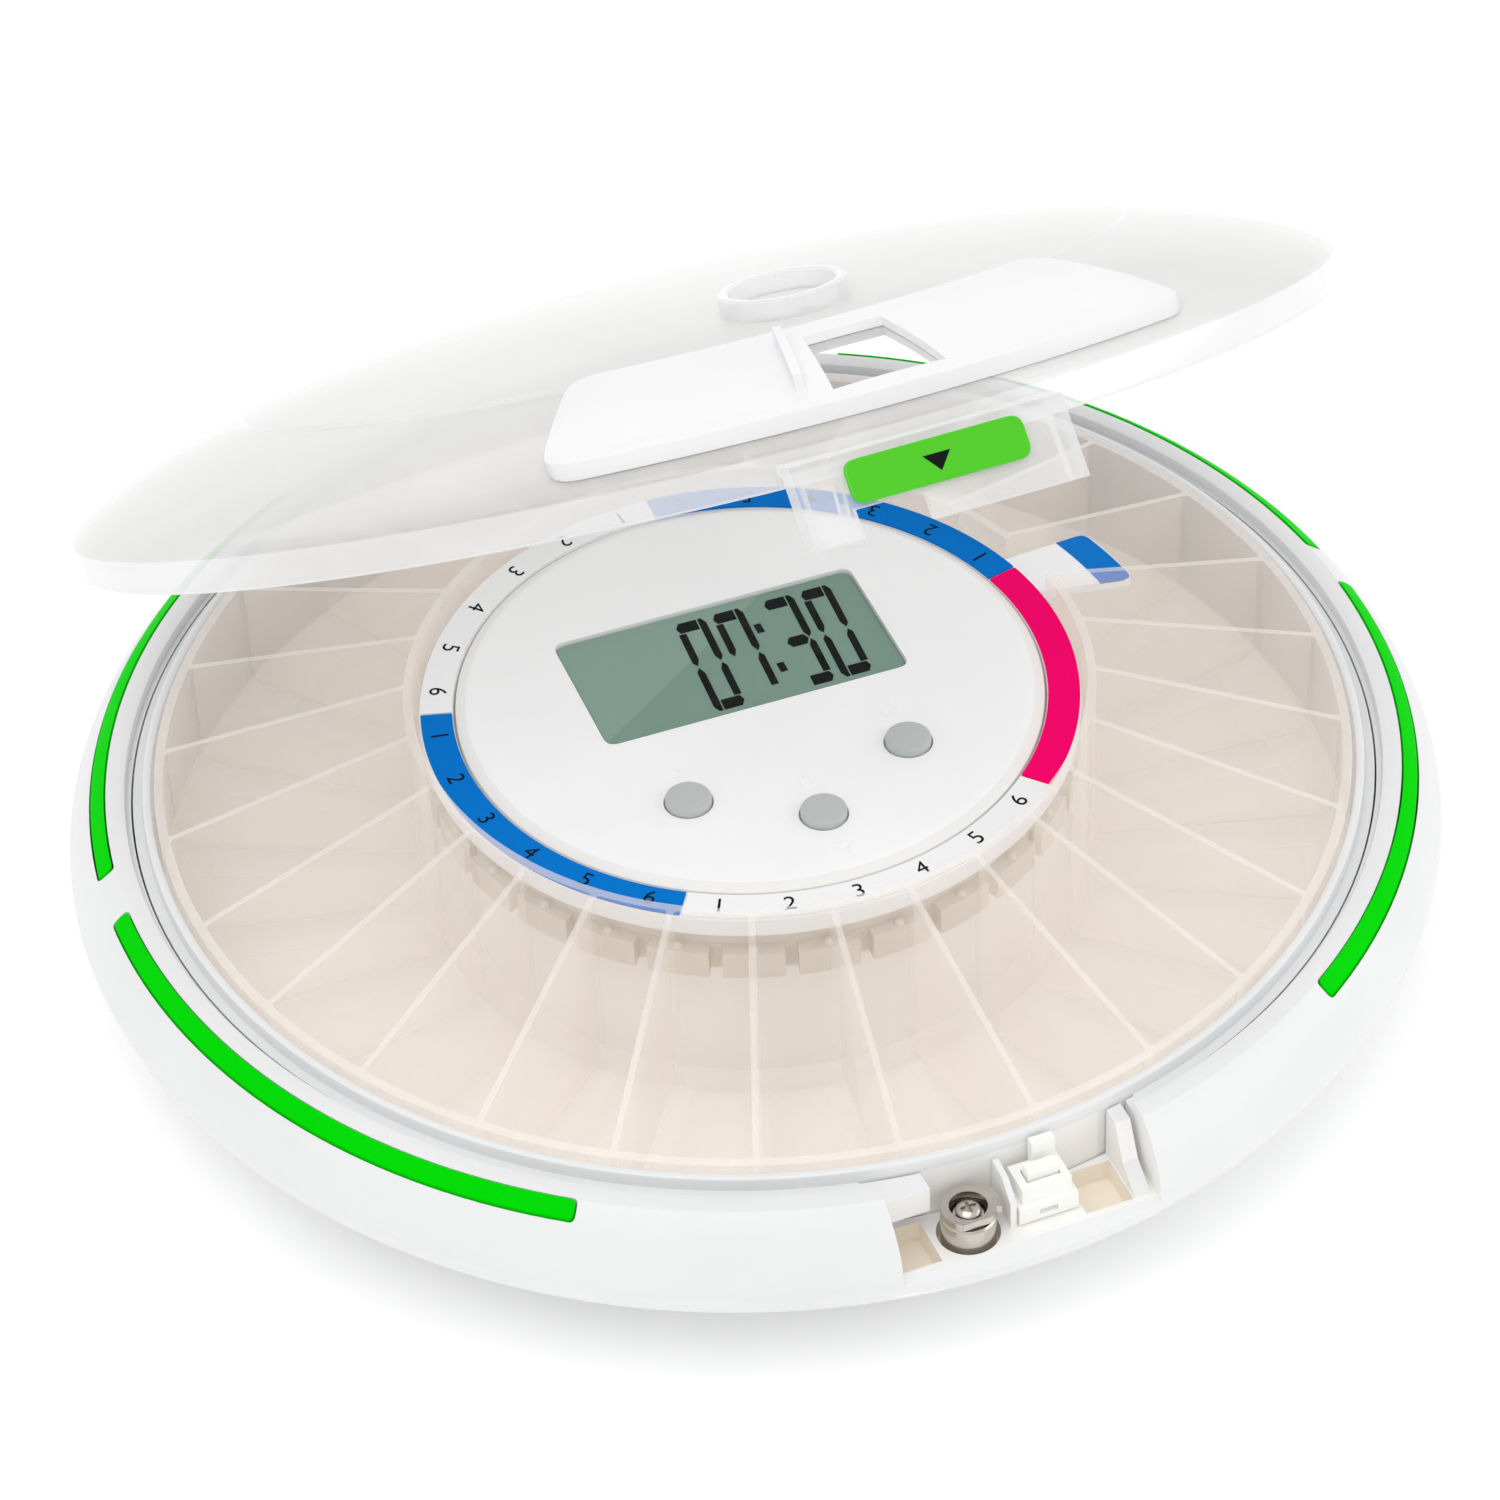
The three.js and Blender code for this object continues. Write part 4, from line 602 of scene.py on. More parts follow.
def soften(thing, width, segments=BEVEL_STEPS, angle=SHARP, harden=True):
    soft = thing.modifiers.new("edges", "BEVEL")
    soft.width = width * MM
    soft.segments = segments
    soft.limit_method = "ANGLE"
    soft.angle_limit = math.radians(angle)
    soft.harden_normals = harden


def dress(thing, name, material, body, node=None, smooth=SHARP, bevel=0.0, turn=0.0,
          segments=BEVEL_STEPS):
    """Names a piece, gives it its finish and soft edges, and lets it ride on its body."""
    if turn:
        turned(thing, turn, "Z")
    thing.name = name
    thing.data.name = name
    thing.data.materials.clear()
    thing.data.materials.append(material)
    thing.data.shade_smooth()
    thing.data.set_sharp_from_angle(angle=math.radians(smooth))
    if bevel:
        soften(thing, bevel, segments, smooth)
    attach(thing, body)
    if node:
        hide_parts(node)
    return thing


def mark_faces(thing, material, chosen):
    """Gives the faces that chosen picks, by their normal and middle in millimetres, another finish."""
    place = len(thing.data.materials)
    thing.data.materials.append(material)
    for face in thing.data.polygons:
        if chosen(face.normal, face.center / MM):
            face.material_index = place


def repaint(node, material, bevel=0.0):
    """Gives a CAD node its finish and soft edges, leaving its shape alone."""
    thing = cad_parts[node]
    for slot in thing.material_slots:
        slot.material = material
    if bevel:
        soften(thing, bevel)


# Materials

def add_node(shader, kind, values=(), **settings):
    """A node beside the shader, with its settings and its inputs' values."""
    node = shader.id_data.nodes.new("ShaderNode" + kind)
    for name, value in settings.items():
        setattr(node, name, value)
    return fill(node, values)


def fill(node, values):
    for name, value in dict(values).items():
        node.inputs[name].default_value = value
    return node


def wire(start, end):
    end.id_data.links.new(start, end)


def add_noise(shader, scale, detail=NOISE_DETAIL):
    texture = add_node(shader, "TexNoise", {"Scale": scale, "Detail": detail})
    wire(add_node(shader, "TexCoord").outputs["Object"], texture.inputs["Vector"])
    return texture.outputs["Fac"]


def surface(name, colour, spread, rough, scales, grain, glow=0.0):
    """A material whose colour, roughness and grain vary, with its shader and colour."""
    material = bpy.data.materials.new(name)
    material.use_nodes = True
    shader = material.node_tree.nodes["Principled BSDF"]
    ramp = add_node(shader, "ValToRGB")
    for end, place, change in zip(ramp.color_ramp.elements, RAMP_ENDS, (1 - spread, 1 + spread)):
        end.position = place
        end.color = [min(1.0, c * change) for c in colour] + [1]
    wire(add_noise(shader, scales[0]), ramp.inputs["Fac"])
    wire(ramp.outputs["Color"], shader.inputs["Base Color"])
    ends = {"From Min": NOISE_ENDS[0], "From Max": NOISE_ENDS[1], "To Min": rough[0], "To Max": rough[1]}
    wear = add_node(shader, "MapRange", ends)
    wire(add_noise(shader, scales[1]), wear.inputs["Value"])
    wire(wear.outputs["Result"], shader.inputs["Roughness"])
    bump = add_node(shader, "Bump", {"Strength": grain[1], "Distance": grain[0] * MM})
    wire(add_noise(shader, scales[2], GRAIN_DETAIL), bump.inputs["Height"])
    wire(bump.outputs["Normal"], shader.inputs["Normal"])
    # A faint glow stands for the light that neighbours scatter into the piece
    if glow:
        wire(ramp.outputs["Color"], shader.inputs["Emission Color"])
        fill(shader, {"Emission Strength": glow})
    return material, shader, ramp.outputs["Color"]


def worn(roughness, wear):
    return (roughness * (1 - wear), roughness * (1 + wear))


def plastic(name, colour, roughness, spread=PLASTIC_SPREAD, grain=PLASTIC_GRAIN, strength=PLASTIC_BUMP[1],
            coat=0.0, glow=0.0, gloss=PLASTIC_GLOSS):
    material, shader, _ = surface(name, colour, spread, worn(roughness, PLASTIC_WEAR),
                                  (*PLASTIC_SCALES, grain), (PLASTIC_BUMP[0], strength), glow)
    fill(shader, {"Specular IOR Level": gloss, "Coat Weight": coat, "Coat Roughness": COAT_ROUGHNESS})
    return material


def metal(name, colour, roughness):
    material, shader, _ = surface(name, colour, METAL_SPREAD, worn(roughness, METAL_WEAR), METAL_SCALES,
                                  METAL_BUMP)
    fill(shader, {"Metallic": 1.0})
    return material


def clear_plastic(name, tint, face, edge, roughness, power=CLEAR_POWER, glow=0.0):
    """See-through plastic that grows denser where it is seen edge on."""
    material, shader, _ = surface(name, tint, CLEAR_SPREAD, worn(roughness, CLEAR_WEAR), CLEAR_SCALES,
                                  CLEAR_BUMP, glow)
    weight = add_node(shader, "LayerWeight", {"Blend": HALF})
    curve = add_node(shader, "Math", {1: power}, operation="POWER")
    spread = add_node(shader, "MapRange", {"To Min": face, "To Max": edge})
    wire(weight.outputs["Facing"], curve.inputs[0])
    wire(curve.outputs["Value"], spread.inputs["Value"])
    wire(spread.outputs["Result"], shader.inputs["Alpha"])
    fill(shader, {"IOR": CLEAR_INDEX})
    return material


def display_material(name, dark, light):
    """Sage glass with a painted reflection: one colour before a slanting line and another beyond it."""
    material, shader, tint = surface(name, dark, SCREEN_SPREAD, SCREEN_ROUGHNESS, SCREEN_SCALES, SCREEN_BUMP)
    slant = add_node(shader, "VectorMath", {1: SHEEN_NORMAL}, operation="DOT_PRODUCT")
    ends = {"From Min": SHEEN_PLACE * MM, "From Max": (SHEEN_PLACE + GAP) * MM}
    beyond = add_node(shader, "MapRange", ends)
    painted_reflection = add_node(shader, "Mix", {"B": (*light, 1.0)}, data_type="RGBA")
    wire(add_node(shader, "TexCoord").outputs["Object"], slant.inputs[0])
    wire(slant.outputs["Value"], beyond.inputs["Value"])
    wire(beyond.outputs["Result"], painted_reflection.inputs["Factor"])
    wire(tint, painted_reflection.inputs["A"])
    wire(painted_reflection.outputs["Result"], shader.inputs["Base Color"])
    fill(shader, {"Specular IOR Level": SCREEN_GLOSS})
    return material


BODY_WHITE = plastic("body_white", (0.812, 0.816, 0.822), 0.36)
WELL_WHITE = plastic("well_white", (0.905, 0.87, 0.83), 0.45, glow=0.1)
CONSOLE_WHITE = plastic("console_white", (0.9, 0.905, 0.905), 0.5, glow=0.09)
PANEL_WHITE = plastic("panel_white", (0.8, 0.8, 0.81), 0.4, glow=0.03)
LABEL_WHITE = plastic("label_white", (0.9, 0.905, 0.91), 0.35, grain=LABEL_GRAIN, glow=0.06)
LABEL_PINK = plastic("label_pink", (0.93, 0.0, 0.15), 0.45, grain=LABEL_GRAIN, gloss=0.02, glow=0.08)
LABEL_BLUE = plastic("label_blue", (0.0, 0.18, 0.62), 0.45, grain=LABEL_GRAIN, gloss=0.03, glow=0.04)
STRIP_GREEN = plastic("strip_green", (0.0, 0.6, 0.001), 0.45, gloss=0.02, glow=0.12)
LABEL_GREEN = plastic("label_green", (0.06, 0.54, 0.0), 0.22, coat=0.9, gloss=0.05)
CONSOLE_RIM = plastic("console_rim", (0.86, 0.845, 0.82), 0.35, glow=0.08)
BAY_WARM = plastic("bay_warm", (0.87, 0.8, 0.7), 0.5, glow=0.06)
BAY_WHITE = plastic("bay_white", (0.86, 0.85, 0.83), 0.45, glow=0.05)
BUTTON_GREY = plastic("button_grey", (0.52, 0.55, 0.54), 0.55, grain=BUTTON_GRAIN, strength=0.4)
NYLON = plastic("nylon", (0.84, 0.78, 0.69), 0.45)
LATCH_WHITE = plastic("latch_white", (0.89, 0.89, 0.855), 0.42, glow=0.05)
RUBBER = plastic("rubber", (0.03, 0.032, 0.034), 0.85, spread=0.08, strength=0.6)
BOARD = plastic("board", (0.01, 0.09, 0.035), 0.5, spread=0.1)
CELL = plastic("cell", (0.03, 0.06, 0.2), 0.35, coat=0.5)
DARK = plastic("dark", (0.02, 0.02, 0.022), 0.5, spread=0.1)
# Sage screen with a painted reflection: the first colour is the paler side before the line, the second the
# darker side beyond it
SCREEN = display_material("screen", (0.26, 0.395, 0.325), (0.21, 0.34, 0.275))
FLOOR_PALE = plastic("floor_pale", (0.95, 0.95, 0.95), 0.7, spread=0.004, strength=0.0, glow=0.13)
INK = plastic("ink", (0.006, 0.007, 0.008), 0.5, gloss=0.06)
NICKEL = metal("nickel", (0.58, 0.55, 0.5), 0.24)
STEEL = metal("steel", (0.5, 0.5, 0.51), 0.35)
TRAY_CLEAR = clear_plastic("tray_clear", (0.97, 0.9, 0.84), 0.06, 0.46, 0.14, 1.9, 0.09)
# Denser, paler clear plastic: a painted highlight along the tray's crests
TRAY_HIGHLIGHT = clear_plastic("tray_highlight", (0.97, 0.93, 0.88), 0.28, 0.75, 0.22, 1.5, 0.06)
LID_CLEAR = clear_plastic("lid_clear", (0.76, 0.757, 0.748), 0.2, 0.95, 0.08, 0.8)
# Denser, whiter clear plastic: a painted highlight on the lid's rim and dome step
LID_HIGHLIGHT = clear_plastic("lid_edge", (0.88, 0.882, 0.885), 0.42, 0.95, 0.1, 1.0, 0.03)
LID_FITTING = clear_plastic("lid_fitting", (0.86, 0.86, 0.865), 0.27, 0.9, 0.05, 1.0, 0.04)
LENS_CLEAR = clear_plastic("lens_clear", (0.2, 0.23, 0.21), 0.01, 0.06, 0.05)


# Body

def shoulder_height(radius):
    reach = (radius - BODY_RADIUS + SHOULDER_RUN) / SHOULDER_RUN
    return WAIST + SHOULDER_RISE * math.sqrt(max(0.0, 1 - reach * reach))


def shoulder_curve():
    start = math.acos((SHOULDER_RADIUS - BODY_RADIUS + SHOULDER_RUN) / SHOULDER_RUN)
    points = []
    for step in range(SHOULDER_STEPS + 1):
        angle = start * (1 - step / SHOULDER_STEPS)
        points.append((BODY_RADIUS - SHOULDER_RUN + SHOULDER_RUN * math.cos(angle),
                       WAIST + SHOULDER_RISE * math.sin(angle)))
    return points


def flank_curve():
    knots = [(BODY_RADIUS, WAIST), (BODY_RADIUS, WAIST - FLANK_DROPS[0]),
             (BODY_RADIUS - FLANK_SETBACK, WAIST - FLANK_DROPS[1]), (FOOT_RADIUS, GROUND_GAP)]
    points = []
    for step in range(FLANK_STEPS + 1):
        t = FLANK_START + (1 - FLANK_START) * step / FLANK_STEPS
        shares = ((1 - t) ** 3, 3 * t * (1 - t) ** 2, 3 * t * t * (1 - t), t ** 3)
        points.append(tuple(sum(s * k[axis] for s, k in zip(shares, knots)) for axis in (0, 1)))
    return points


SHOULDER_TOP = shoulder_height(SHOULDER_RADIUS) + SHOULDER_CROWN
GROOVE_FLOOR = SHOULDER_TOP - GROOVE_DEPTH
BODY_CURVE = shoulder_curve() + flank_curve()


def body_volume(inset=0.0):
    """The body's outside as a solid, drawn in a little where it joins another skin."""
    line = offset_line(BODY_CURVE, inset)
    return lathe([(0.0, line[0][1]), (GROOVE_RADIUS, line[0][1])] + line + [(0.0, line[-1][1])])


def bay_space():
    back, front = -WELL_RADIUS + OVERRUN, -BODY_RADIUS - OVERRUN
    low = BAY_FLOOR - BAY_CHAMFER[1]
    return sideways([(back, BAY_FLOOR), (BAY_FRONT, BAY_FLOOR), (BAY_FRONT - BAY_CHAMFER[0], low),
                     (front, low), (front, TRAY_CROWN), (back, TRAY_CROWN)], (-BAY_HALF, BAY_HALF))


def strip_outline(name, margin):
    widen = math.degrees(margin / STRIP_INNER)
    start, end = [angle + CONSOLE_TURN for angle in STRIP_SPANS[name]]
    return sector(STRIP_INNER - margin, STRIP_INNER + STRIP_WIDTH + margin, (start - widen, end + widen),
                  STRIP_CORNER)


def outer_shell():
    seam = GROOVE_FLOOR - LIP_THICKNESS
    profile = [(SEAM_RADIUS, seam), (SEAM_RADIUS, GROOVE_FLOOR), (GROOVE_RADIUS, GROOVE_FLOOR)]
    profile += lip(GROOVE_RADIUS, SHOULDER_TOP, 1) + BODY_CURVE
    profile += [(COVER_RADIUS, GROUND_GAP), (COVER_RADIUS, COVER_TOP), (LEDGE_RADIUS, COVER_TOP),
                (LEDGE_RADIUS, LEDGE_TOP)]
    profile += [point for point in offset_line(BODY_CURVE, SHELL_WALL) if point[1] > LEDGE_TOP][::-1]
    profile += [(SHOULDER_RADIUS - SHELL_WALL, seam)]
    shell = join(lathe(profile), bay_box())
    slots = [prism(strip_outline(name, GAP), WAIST + GAP, TRAY_CROWN) for name in STRIP_SPANS]
    cut(shell, bay_space(), *slots)
    cut(shell, *bay_pockets())
    return join(shell, *bay_walls())


def bay_box():
    reach = BAY_HALF + BAY_WALL
    back = (-BODY_RADIUS - OVERRUN, -WELL_RADIUS + OVERRUN)
    box = cross(block((-reach, reach), back, (BAY_UNDERSIDE, TRAY_CROWN)), body_volume(SINK))
    floor, wall = GROOVE_FLOOR - SINK, GROOVE_RADIUS + SINK
    return cut(box, drum(wall, floor, TRAY_CROWN), rod(WELL_RADIUS + GAP, 0.0, TRAY_CROWN, segments=FINE))


def bay_walls():
    base, seam = BAY_FLOOR - GAP, GROOVE_FLOOR - SINK
    back = -WELL_RADIUS + OVERRUN
    ledge = block(BAY_LEDGE[0], (BAY_LEDGE[1], back), (BAY_LEDGE[2], seam))
    xs, front, rise = PARTITION
    partition = sideways([(back, base), (front, base), (front, BAY_FLOOR + rise), PARTITION_KNEE,
                          (back, GROOVE_FLOOR - GAP)], xs)
    xs, front, top, knee = POCKET_WALL
    wall = sideways([(back, base), (BAY_POCKET_FRONT, base), (BAY_POCKET_FRONT, BAY_FLOOR + GAP),
                     (front, BAY_FLOOR + knee - GAP), (top, seam), (back, seam)], xs)
    return [cut(thing, drum(WELL_RADIUS + GAP, 0.0, TRAY_CROWN)) for thing in (ledge, partition, wall)]


def bay_pockets():
    ys = (BAY_POCKET_FRONT, -WELL_RADIUS - GAP)
    pockets = [block(xs, ys, (low, BAY_FLOOR + GAP)) for xs, low in BAY_POCKETS]
    return pockets + [rod(LOCK_SEAT[0], LOCK_SEAT[1], BAY_FLOOR + GAP, LOCK)]


def hinge_lug(xs):
    """A plate that rises from the groove and rounds over the hinge pin."""
    arc = [polar(BARREL_RADIUS, TURN * HALF * step / LUG_STEPS) for step in range(LUG_STEPS + 1)]
    front = GROOVE_RADIUS + GAP
    foot = [(HINGE[0] - BARREL_RADIUS, HINGE[1] - BARREL_RADIUS), (front, HINGE[1] - 2 * BARREL_RADIUS),
            (front, GROOVE_FLOOR - GAP), (HINGE[0] + BARREL_RADIUS, GROOVE_FLOOR - GAP)]
    return sideways(shifted(arc, HINGE) + foot, xs)


def hinge_lugs():
    inner = BARREL_WIDTH / 2 + GAP
    lugs = []
    for side in (-1, 1):
        for face in (-1, 1):
            ends = [side * HINGE_OFFSET + face * reach for reach in (inner, inner + LUG_WIDTH)]
            lugs.append(hinge_lug(sorted(ends)))
    return merge_loose(lugs)


def tray_well():
    slope_foot, slope_top = WELL_RADIUS - WELL_SLOPE_RUN, WELL_BOTTOM + WELL_SLOPE_RISE
    inner = WELL_RADIUS - WELL_WALL
    seam = GROOVE_FLOOR - LIP_THICKNESS
    profile = [(TOWER_RADIUS - TOWER_WALL, WELL_BOTTOM), (slope_foot, WELL_BOTTOM), (WELL_RADIUS, slope_top),
               (WELL_RADIUS, seam), (SEAM_RADIUS - GAP, seam), (SEAM_RADIUS - GAP, GROOVE_FLOOR),
               (WELL_RADIUS, GROOVE_FLOOR)]
    profile += lip(WELL_RADIUS, WELL_LIP, -1) + lip(inner, WELL_LIP, 1)[::-1]
    profile += [(inner, slope_top + WELL_SLOPE_LIFT), (slope_foot, WELL_FLOOR_TOP),
                (TOWER_RADIUS, WELL_FLOOR_TOP), (TOWER_RADIUS, TOWER_TOP),
                (TOWER_RADIUS - TOWER_WALL, TOWER_TOP)]
    reach = BAY_HALF + BAY_WALL - SINK
    notch = block((-reach, reach), (-BODY_RADIUS, -COVER_RADIUS), (BAY_FLOOR - BAY_NOTCH_DROP, TRAY_CROWN))
    cut(notch, rod(WELL_RADIUS, 0.0, TRAY_CROWN + OVERRUN, segments=FINE))
    return cut(lathe(profile), notch)


# Pill tray

def pocket_floor(radius):
    rate = (POCKET_SLOPE_TOP - TRAY_FLOOR_TOP) / (TRAY_RADIUS - TRAY_WALL - POCKET_SLOPE_FOOT)
    return TRAY_FLOOR_TOP + max(0.0, (radius - POCKET_SLOPE_FOOT) * rate)


def pocket_hollow(step):
    """A pocket's hollow, with its floor scooped up into its walls."""
    span = (PITCH * step, PITCH * (step + 1))
    inner = TRAY_INNER + TRAY_INNER_WALL
    outer = TRAY_RADIUS - TRAY_WALL
    rings = []
    for level in range(SCOOP_STEPS, -1, -1):
        angle = math.radians(QUARTER * level / SCOOP_STEPS)
        inset = POCKET_SCOOP * (1 - math.cos(angle))
        lift = POCKET_SCOOP * (1 - math.sin(angle))
        outline = sector(inner + inset, outer - inset, span, POCKET_CORNER, DIVIDER / 2 + inset)
        rings.append([(x, y, pocket_floor(math.hypot(x, y)) + lift) for x, y in outline])
    top = sector(inner, outer, span, POCKET_CORNER, DIVIDER / 2)
    rings.append([(x, y, TRAY_CROWN + OVERRUN) for x, y in top])
    count = min(len(ring) for ring in rings)
    points = [point for ring in rings for point in resample(ring, count)]
    faces = []
    for low in range(0, len(points) - count, count):
        for place in range(count):
            after = (place + 1) % count
            faces.append((low + place, low + after, low + count + after, low + count + place))
    faces.append(tuple(range(count))[::-1])
    faces.append(tuple(range(len(points) - count, len(points))))
    return solid(points, faces)


def resample(ring, count):
    """Keeps a ring's point count equal to the others by dropping extra arc points evenly."""
    if len(ring) == count:
        return ring
    return [ring[round(place * len(ring) / count) % len(ring)] for place in range(count)]


def pill_tray():
    inner = TRAY_INNER + TRAY_INNER_WALL
    ring = lathe([(TRAY_INNER, TRAY_BOTTOM), (TRAY_SLOPE_FOOT, TRAY_BOTTOM), (TRAY_RADIUS, TRAY_SLOPE_TOP),
                  (TRAY_RADIUS, TRAY_RIM), (TRAY_RADIUS - TRAY_WALL, TRAY_RIM), (inner, TRAY_CROWN),
                  (TRAY_INNER, TRAY_CROWN)], segments=TRAY_FACETS)
    cut(ring, merge_loose([pocket_hollow(step) for step in range(POCKETS)]))
    span = (PITCH * TAB_POCKET, PITCH * (TAB_POCKET + 1))
    gap = prism(sector(DOSE_RADII[1], inner + POCKET_CORNER, span, GAP, DIVIDER / 2),
                DOSE_TOP - DOSE_THICKNESS - DOSE_TAB_DROP / 2, TRAY_CROWN + OVERRUN)
    return cut(ring, gap)


# Drive ring and dosage ring

def gear_outline(root, tip, start):
    pitch = TURN / GEAR_TEETH
    foot, crest = GEAR_SHARES
    points = []
    for tooth in range(GEAR_TEETH):
        for radius, share in ((root, -foot), (tip, -crest), (tip, crest), (root, foot)):
            points.append(polar(radius, start + pitch * (tooth + share / 2)))
    return points


def drive_ring():
    inner, outer = DRIVE_FLANGE
    low, high = DRIVE_HEIGHTS
    ring = lathe([(inner, low), (outer, low), (outer, high), (DRIVE_NECK, high), (DRIVE_NECK, DRIVE_TOP),
                  (inner, DRIVE_TOP)], segments=RING_FACETS)
    start = MOTOR_ANGLE - TRAY_TURN + TURN / GEAR_TEETH / 2
    teeth = rod(inner + GEAR_BAND, low + SINK, high - SINK, segments=RING_FACETS)
    cut(teeth, prism(gear_outline(inner, inner - GEAR_HEIGHT, start), 0.0, TRAY_CROWN))
    join(ring, teeth)
    notches = []
    for step in range(POCKETS):
        notch = block((outer - NOTCH_DEPTH, outer + OVERRUN), (-NOTCH_WIDTH / 2, NOTCH_WIDTH / 2),
                      (low - OVERRUN, high + OVERRUN))
        notches.append(turned(notch, PITCH * (step + HALF), "Z"))
    return cut(ring, merge_loose(notches))


def drive_studs():
    top = DRIVE_HEIGHTS[1]
    curve = [polar(STUD_RADIUS, QUARTER * step / STUD_STEPS) for step in range(STUD_STEPS)]
    profile = [(0.0, top - GAP), (STUD_RADIUS, top - GAP)] + shifted(curve, (0.0, top))
    profile.append((0.0, top + STUD_RADIUS))
    reach = DRIVE_FLANGE[1] - STUD_RADIUS * STUD_INSET
    places = [polar(reach, PITCH * step) for step in range(POCKETS)]
    return merge_loose([lathe(profile, STUD_FACETS, centre=place) for place in places])


def dosage_ring():
    inner, outer = DOSE_RADII
    start, rim = DOSE_RIM
    under = DOSE_TOP - DOSE_THICKNESS
    ring = lathe([(inner, DOSE_TOP), (outer - DOSE_BEVEL, DOSE_TOP), (outer, DOSE_TOP - DOSE_BEVEL),
                  (outer, rim), (start, rim), (start, under), (inner, under)])
    slab = lathe([(start, DOSE_TOP), (DOSE_TAB_REACH, DOSE_TOP - DOSE_TAB_DROP),
                  (DOSE_TAB_REACH, under - DOSE_TAB_DROP), (start, under)])
    cross(slab, prism(tab_outline(start - DOSE_TAB_ROOT, DOSE_TAB_REACH), 0.0, TRAY_CROWN))
    return join(ring, slab)


def tab_outline(inner, outer):
    span = (TRAY_TURN + PITCH * TAB_POCKET, TRAY_TURN + PITCH * (TAB_POCKET + 1))
    return sector(inner, outer, span, DOSE_TAB_CORNER, DIVIDER / 2 + DOSE_TAB_PLAY * GAP)


def tab_band():
    """The coloured end of the ring's tab."""
    def tab_top(radius):
        return DOSE_TOP - (radius - DOSE_RIM[0]) / (DOSE_TAB_REACH - DOSE_RIM[0]) * DOSE_TAB_DROP

    first, last = DOSE_TAB_BAND, DOSE_TAB_REACH - DOSE_BAND_INSET
    slab = lathe([(first, tab_top(first) - GAP), (last, tab_top(last) - GAP),
                  (last, tab_top(last) + DOSE_BAND_RISE), (first, tab_top(first) + DOSE_BAND_RISE)])
    return cross(slab, prism(tab_outline(first - OVERRUN, last), 0.0, TRAY_CROWN))


def dose_sector(span):
    margin = math.degrees(DOSE_MARGIN / DOSE_RADII[0])
    outline = sector(DOSE_RADII[0] + DOSE_MARGIN, DOSE_RADII[1] - DOSE_MARGIN,
                     (span[0] + margin, span[1] - margin), DOSE_MARGIN)
    return prism(outline, DOSE_TOP, DOSE_TOP + DOSE_LABEL)


def numeral(text, place, angle):
    curve = bpy.data.curves.new("numeral", "FONT")
    curve.body = text
    curve.size = NUMERAL_SIZE * MM
    curve.align_x = "CENTER"
    curve.align_y = "CENTER"
    curve.extrude = NUMERAL_DEPTH * MM
    thing = link("numeral", curve)
    mesh = finished_mesh(thing)
    bpy.data.objects.remove(thing)
    mesh.transform(Matrix.Translation(Vector(place) * MM) @ rotation(angle, "Z"))
    return link("numeral", mesh)


def dose_numerals():
    things = []
    for name, (start, end) in DOSE_SPANS.items():
        if "pink" in name:
            continue
        for step in range(DOSE_STEPS):
            angle = start + (end - start) * (step + HALF) / DOSE_STEPS
            place = (*polar(sum(DOSE_RADII) / 2, angle), DOSE_TOP + DOSE_LABEL + NUMERAL_RISE)
            things.append(numeral(str(step + 1), place, angle + QUARTER))
    return merge_loose(things)


# Console

def window_outline(margin):
    half, tall = WINDOW[0] / 2 + margin, WINDOW[1] / 2
    low, high = WINDOW_OFFSET - tall - margin, WINDOW_OFFSET + tall + margin
    return rounded_rectangle(half, low, high, WINDOW_CORNER)


def console_housing():
    brow, under = CONSOLE_TOP - CONSOLE_BEVEL, CONSOLE_TOP - CONSOLE_PLATE
    rim = brow - CONSOLE_EDGE
    body = lathe([(0.0, CONSOLE_TOP)] + shifted(CONSOLE_CROWN, (CONSOLE_FACE, CONSOLE_TOP))
                 + shifted(CONSOLE_BROW, (CONSOLE_RADIUS, brow))
                 + [(CONSOLE_RADIUS, rim), (SKIRT[1], rim), (SKIRT[1], SKIRT_BOTTOM),
                    (SKIRT[0], SKIRT_BOTTOM), (SKIRT[0], under), (0.0, under)])
    span = (under - OVERRUN, CONSOLE_TOP + OVERRUN)
    holes = [rod(BUTTON_RADIUS + GAP, *span, place) for place in BUTTONS.values()]
    return cut(body, prism(window_outline(0.0), *span), *holes)


def display_lens():
    top = CONSOLE_TOP - LENS_RECESS
    return prism(window_outline(-GAP), top - LENS_PLATE, top)


def display_glass():
    """The module with its glass standing close under the lens."""
    under = CONSOLE_TOP - CONSOLE_PLATE - GAP
    stack = prism(window_outline(-GAP), SCREEN_TOP - SHORT_OVERRUN, GLASS_TOP)
    join(stack, prism(window_outline(LENS_FLANGE), SCREEN_TOP - GAP, under))
    return join(stack, prism(window_outline(MODULE_MARGIN), MODULE_BOTTOM, SCREEN_TOP))


def button(place):
    top = CONSOLE_TOP + BUTTON_PROUD
    low = CONSOLE_TOP - CONSOLE_PLATE - GAP
    shoulder, drop = BUTTON_RADIUS - BUTTON_ROUND, top - BUTTON_DROPS[1]
    flange, foot = BUTTON_RADIUS + BUTTON_FLANGE[0], low - BUTTON_FLANGE[1]
    profile = [(0.0, top), (BUTTON_RADIUS * HALF, top - BUTTON_DROPS[0]), (shoulder, drop)]
    for step in range(1, BUTTON_STEPS + 1):
        angle = math.radians(QUARTER * step / BUTTON_STEPS)
        profile.append((shoulder + BUTTON_ROUND * math.sin(angle),
                        drop - BUTTON_ROUND + BUTTON_ROUND * math.cos(angle)))
    profile += [(BUTTON_RADIUS, low), (flange, low), (flange, foot), (BUTTON_STEM[0], foot), BUTTON_STEM,
                (0.0, BUTTON_STEM[1])]
    return lathe(profile, SMOOTH, centre=place)


# Display figures

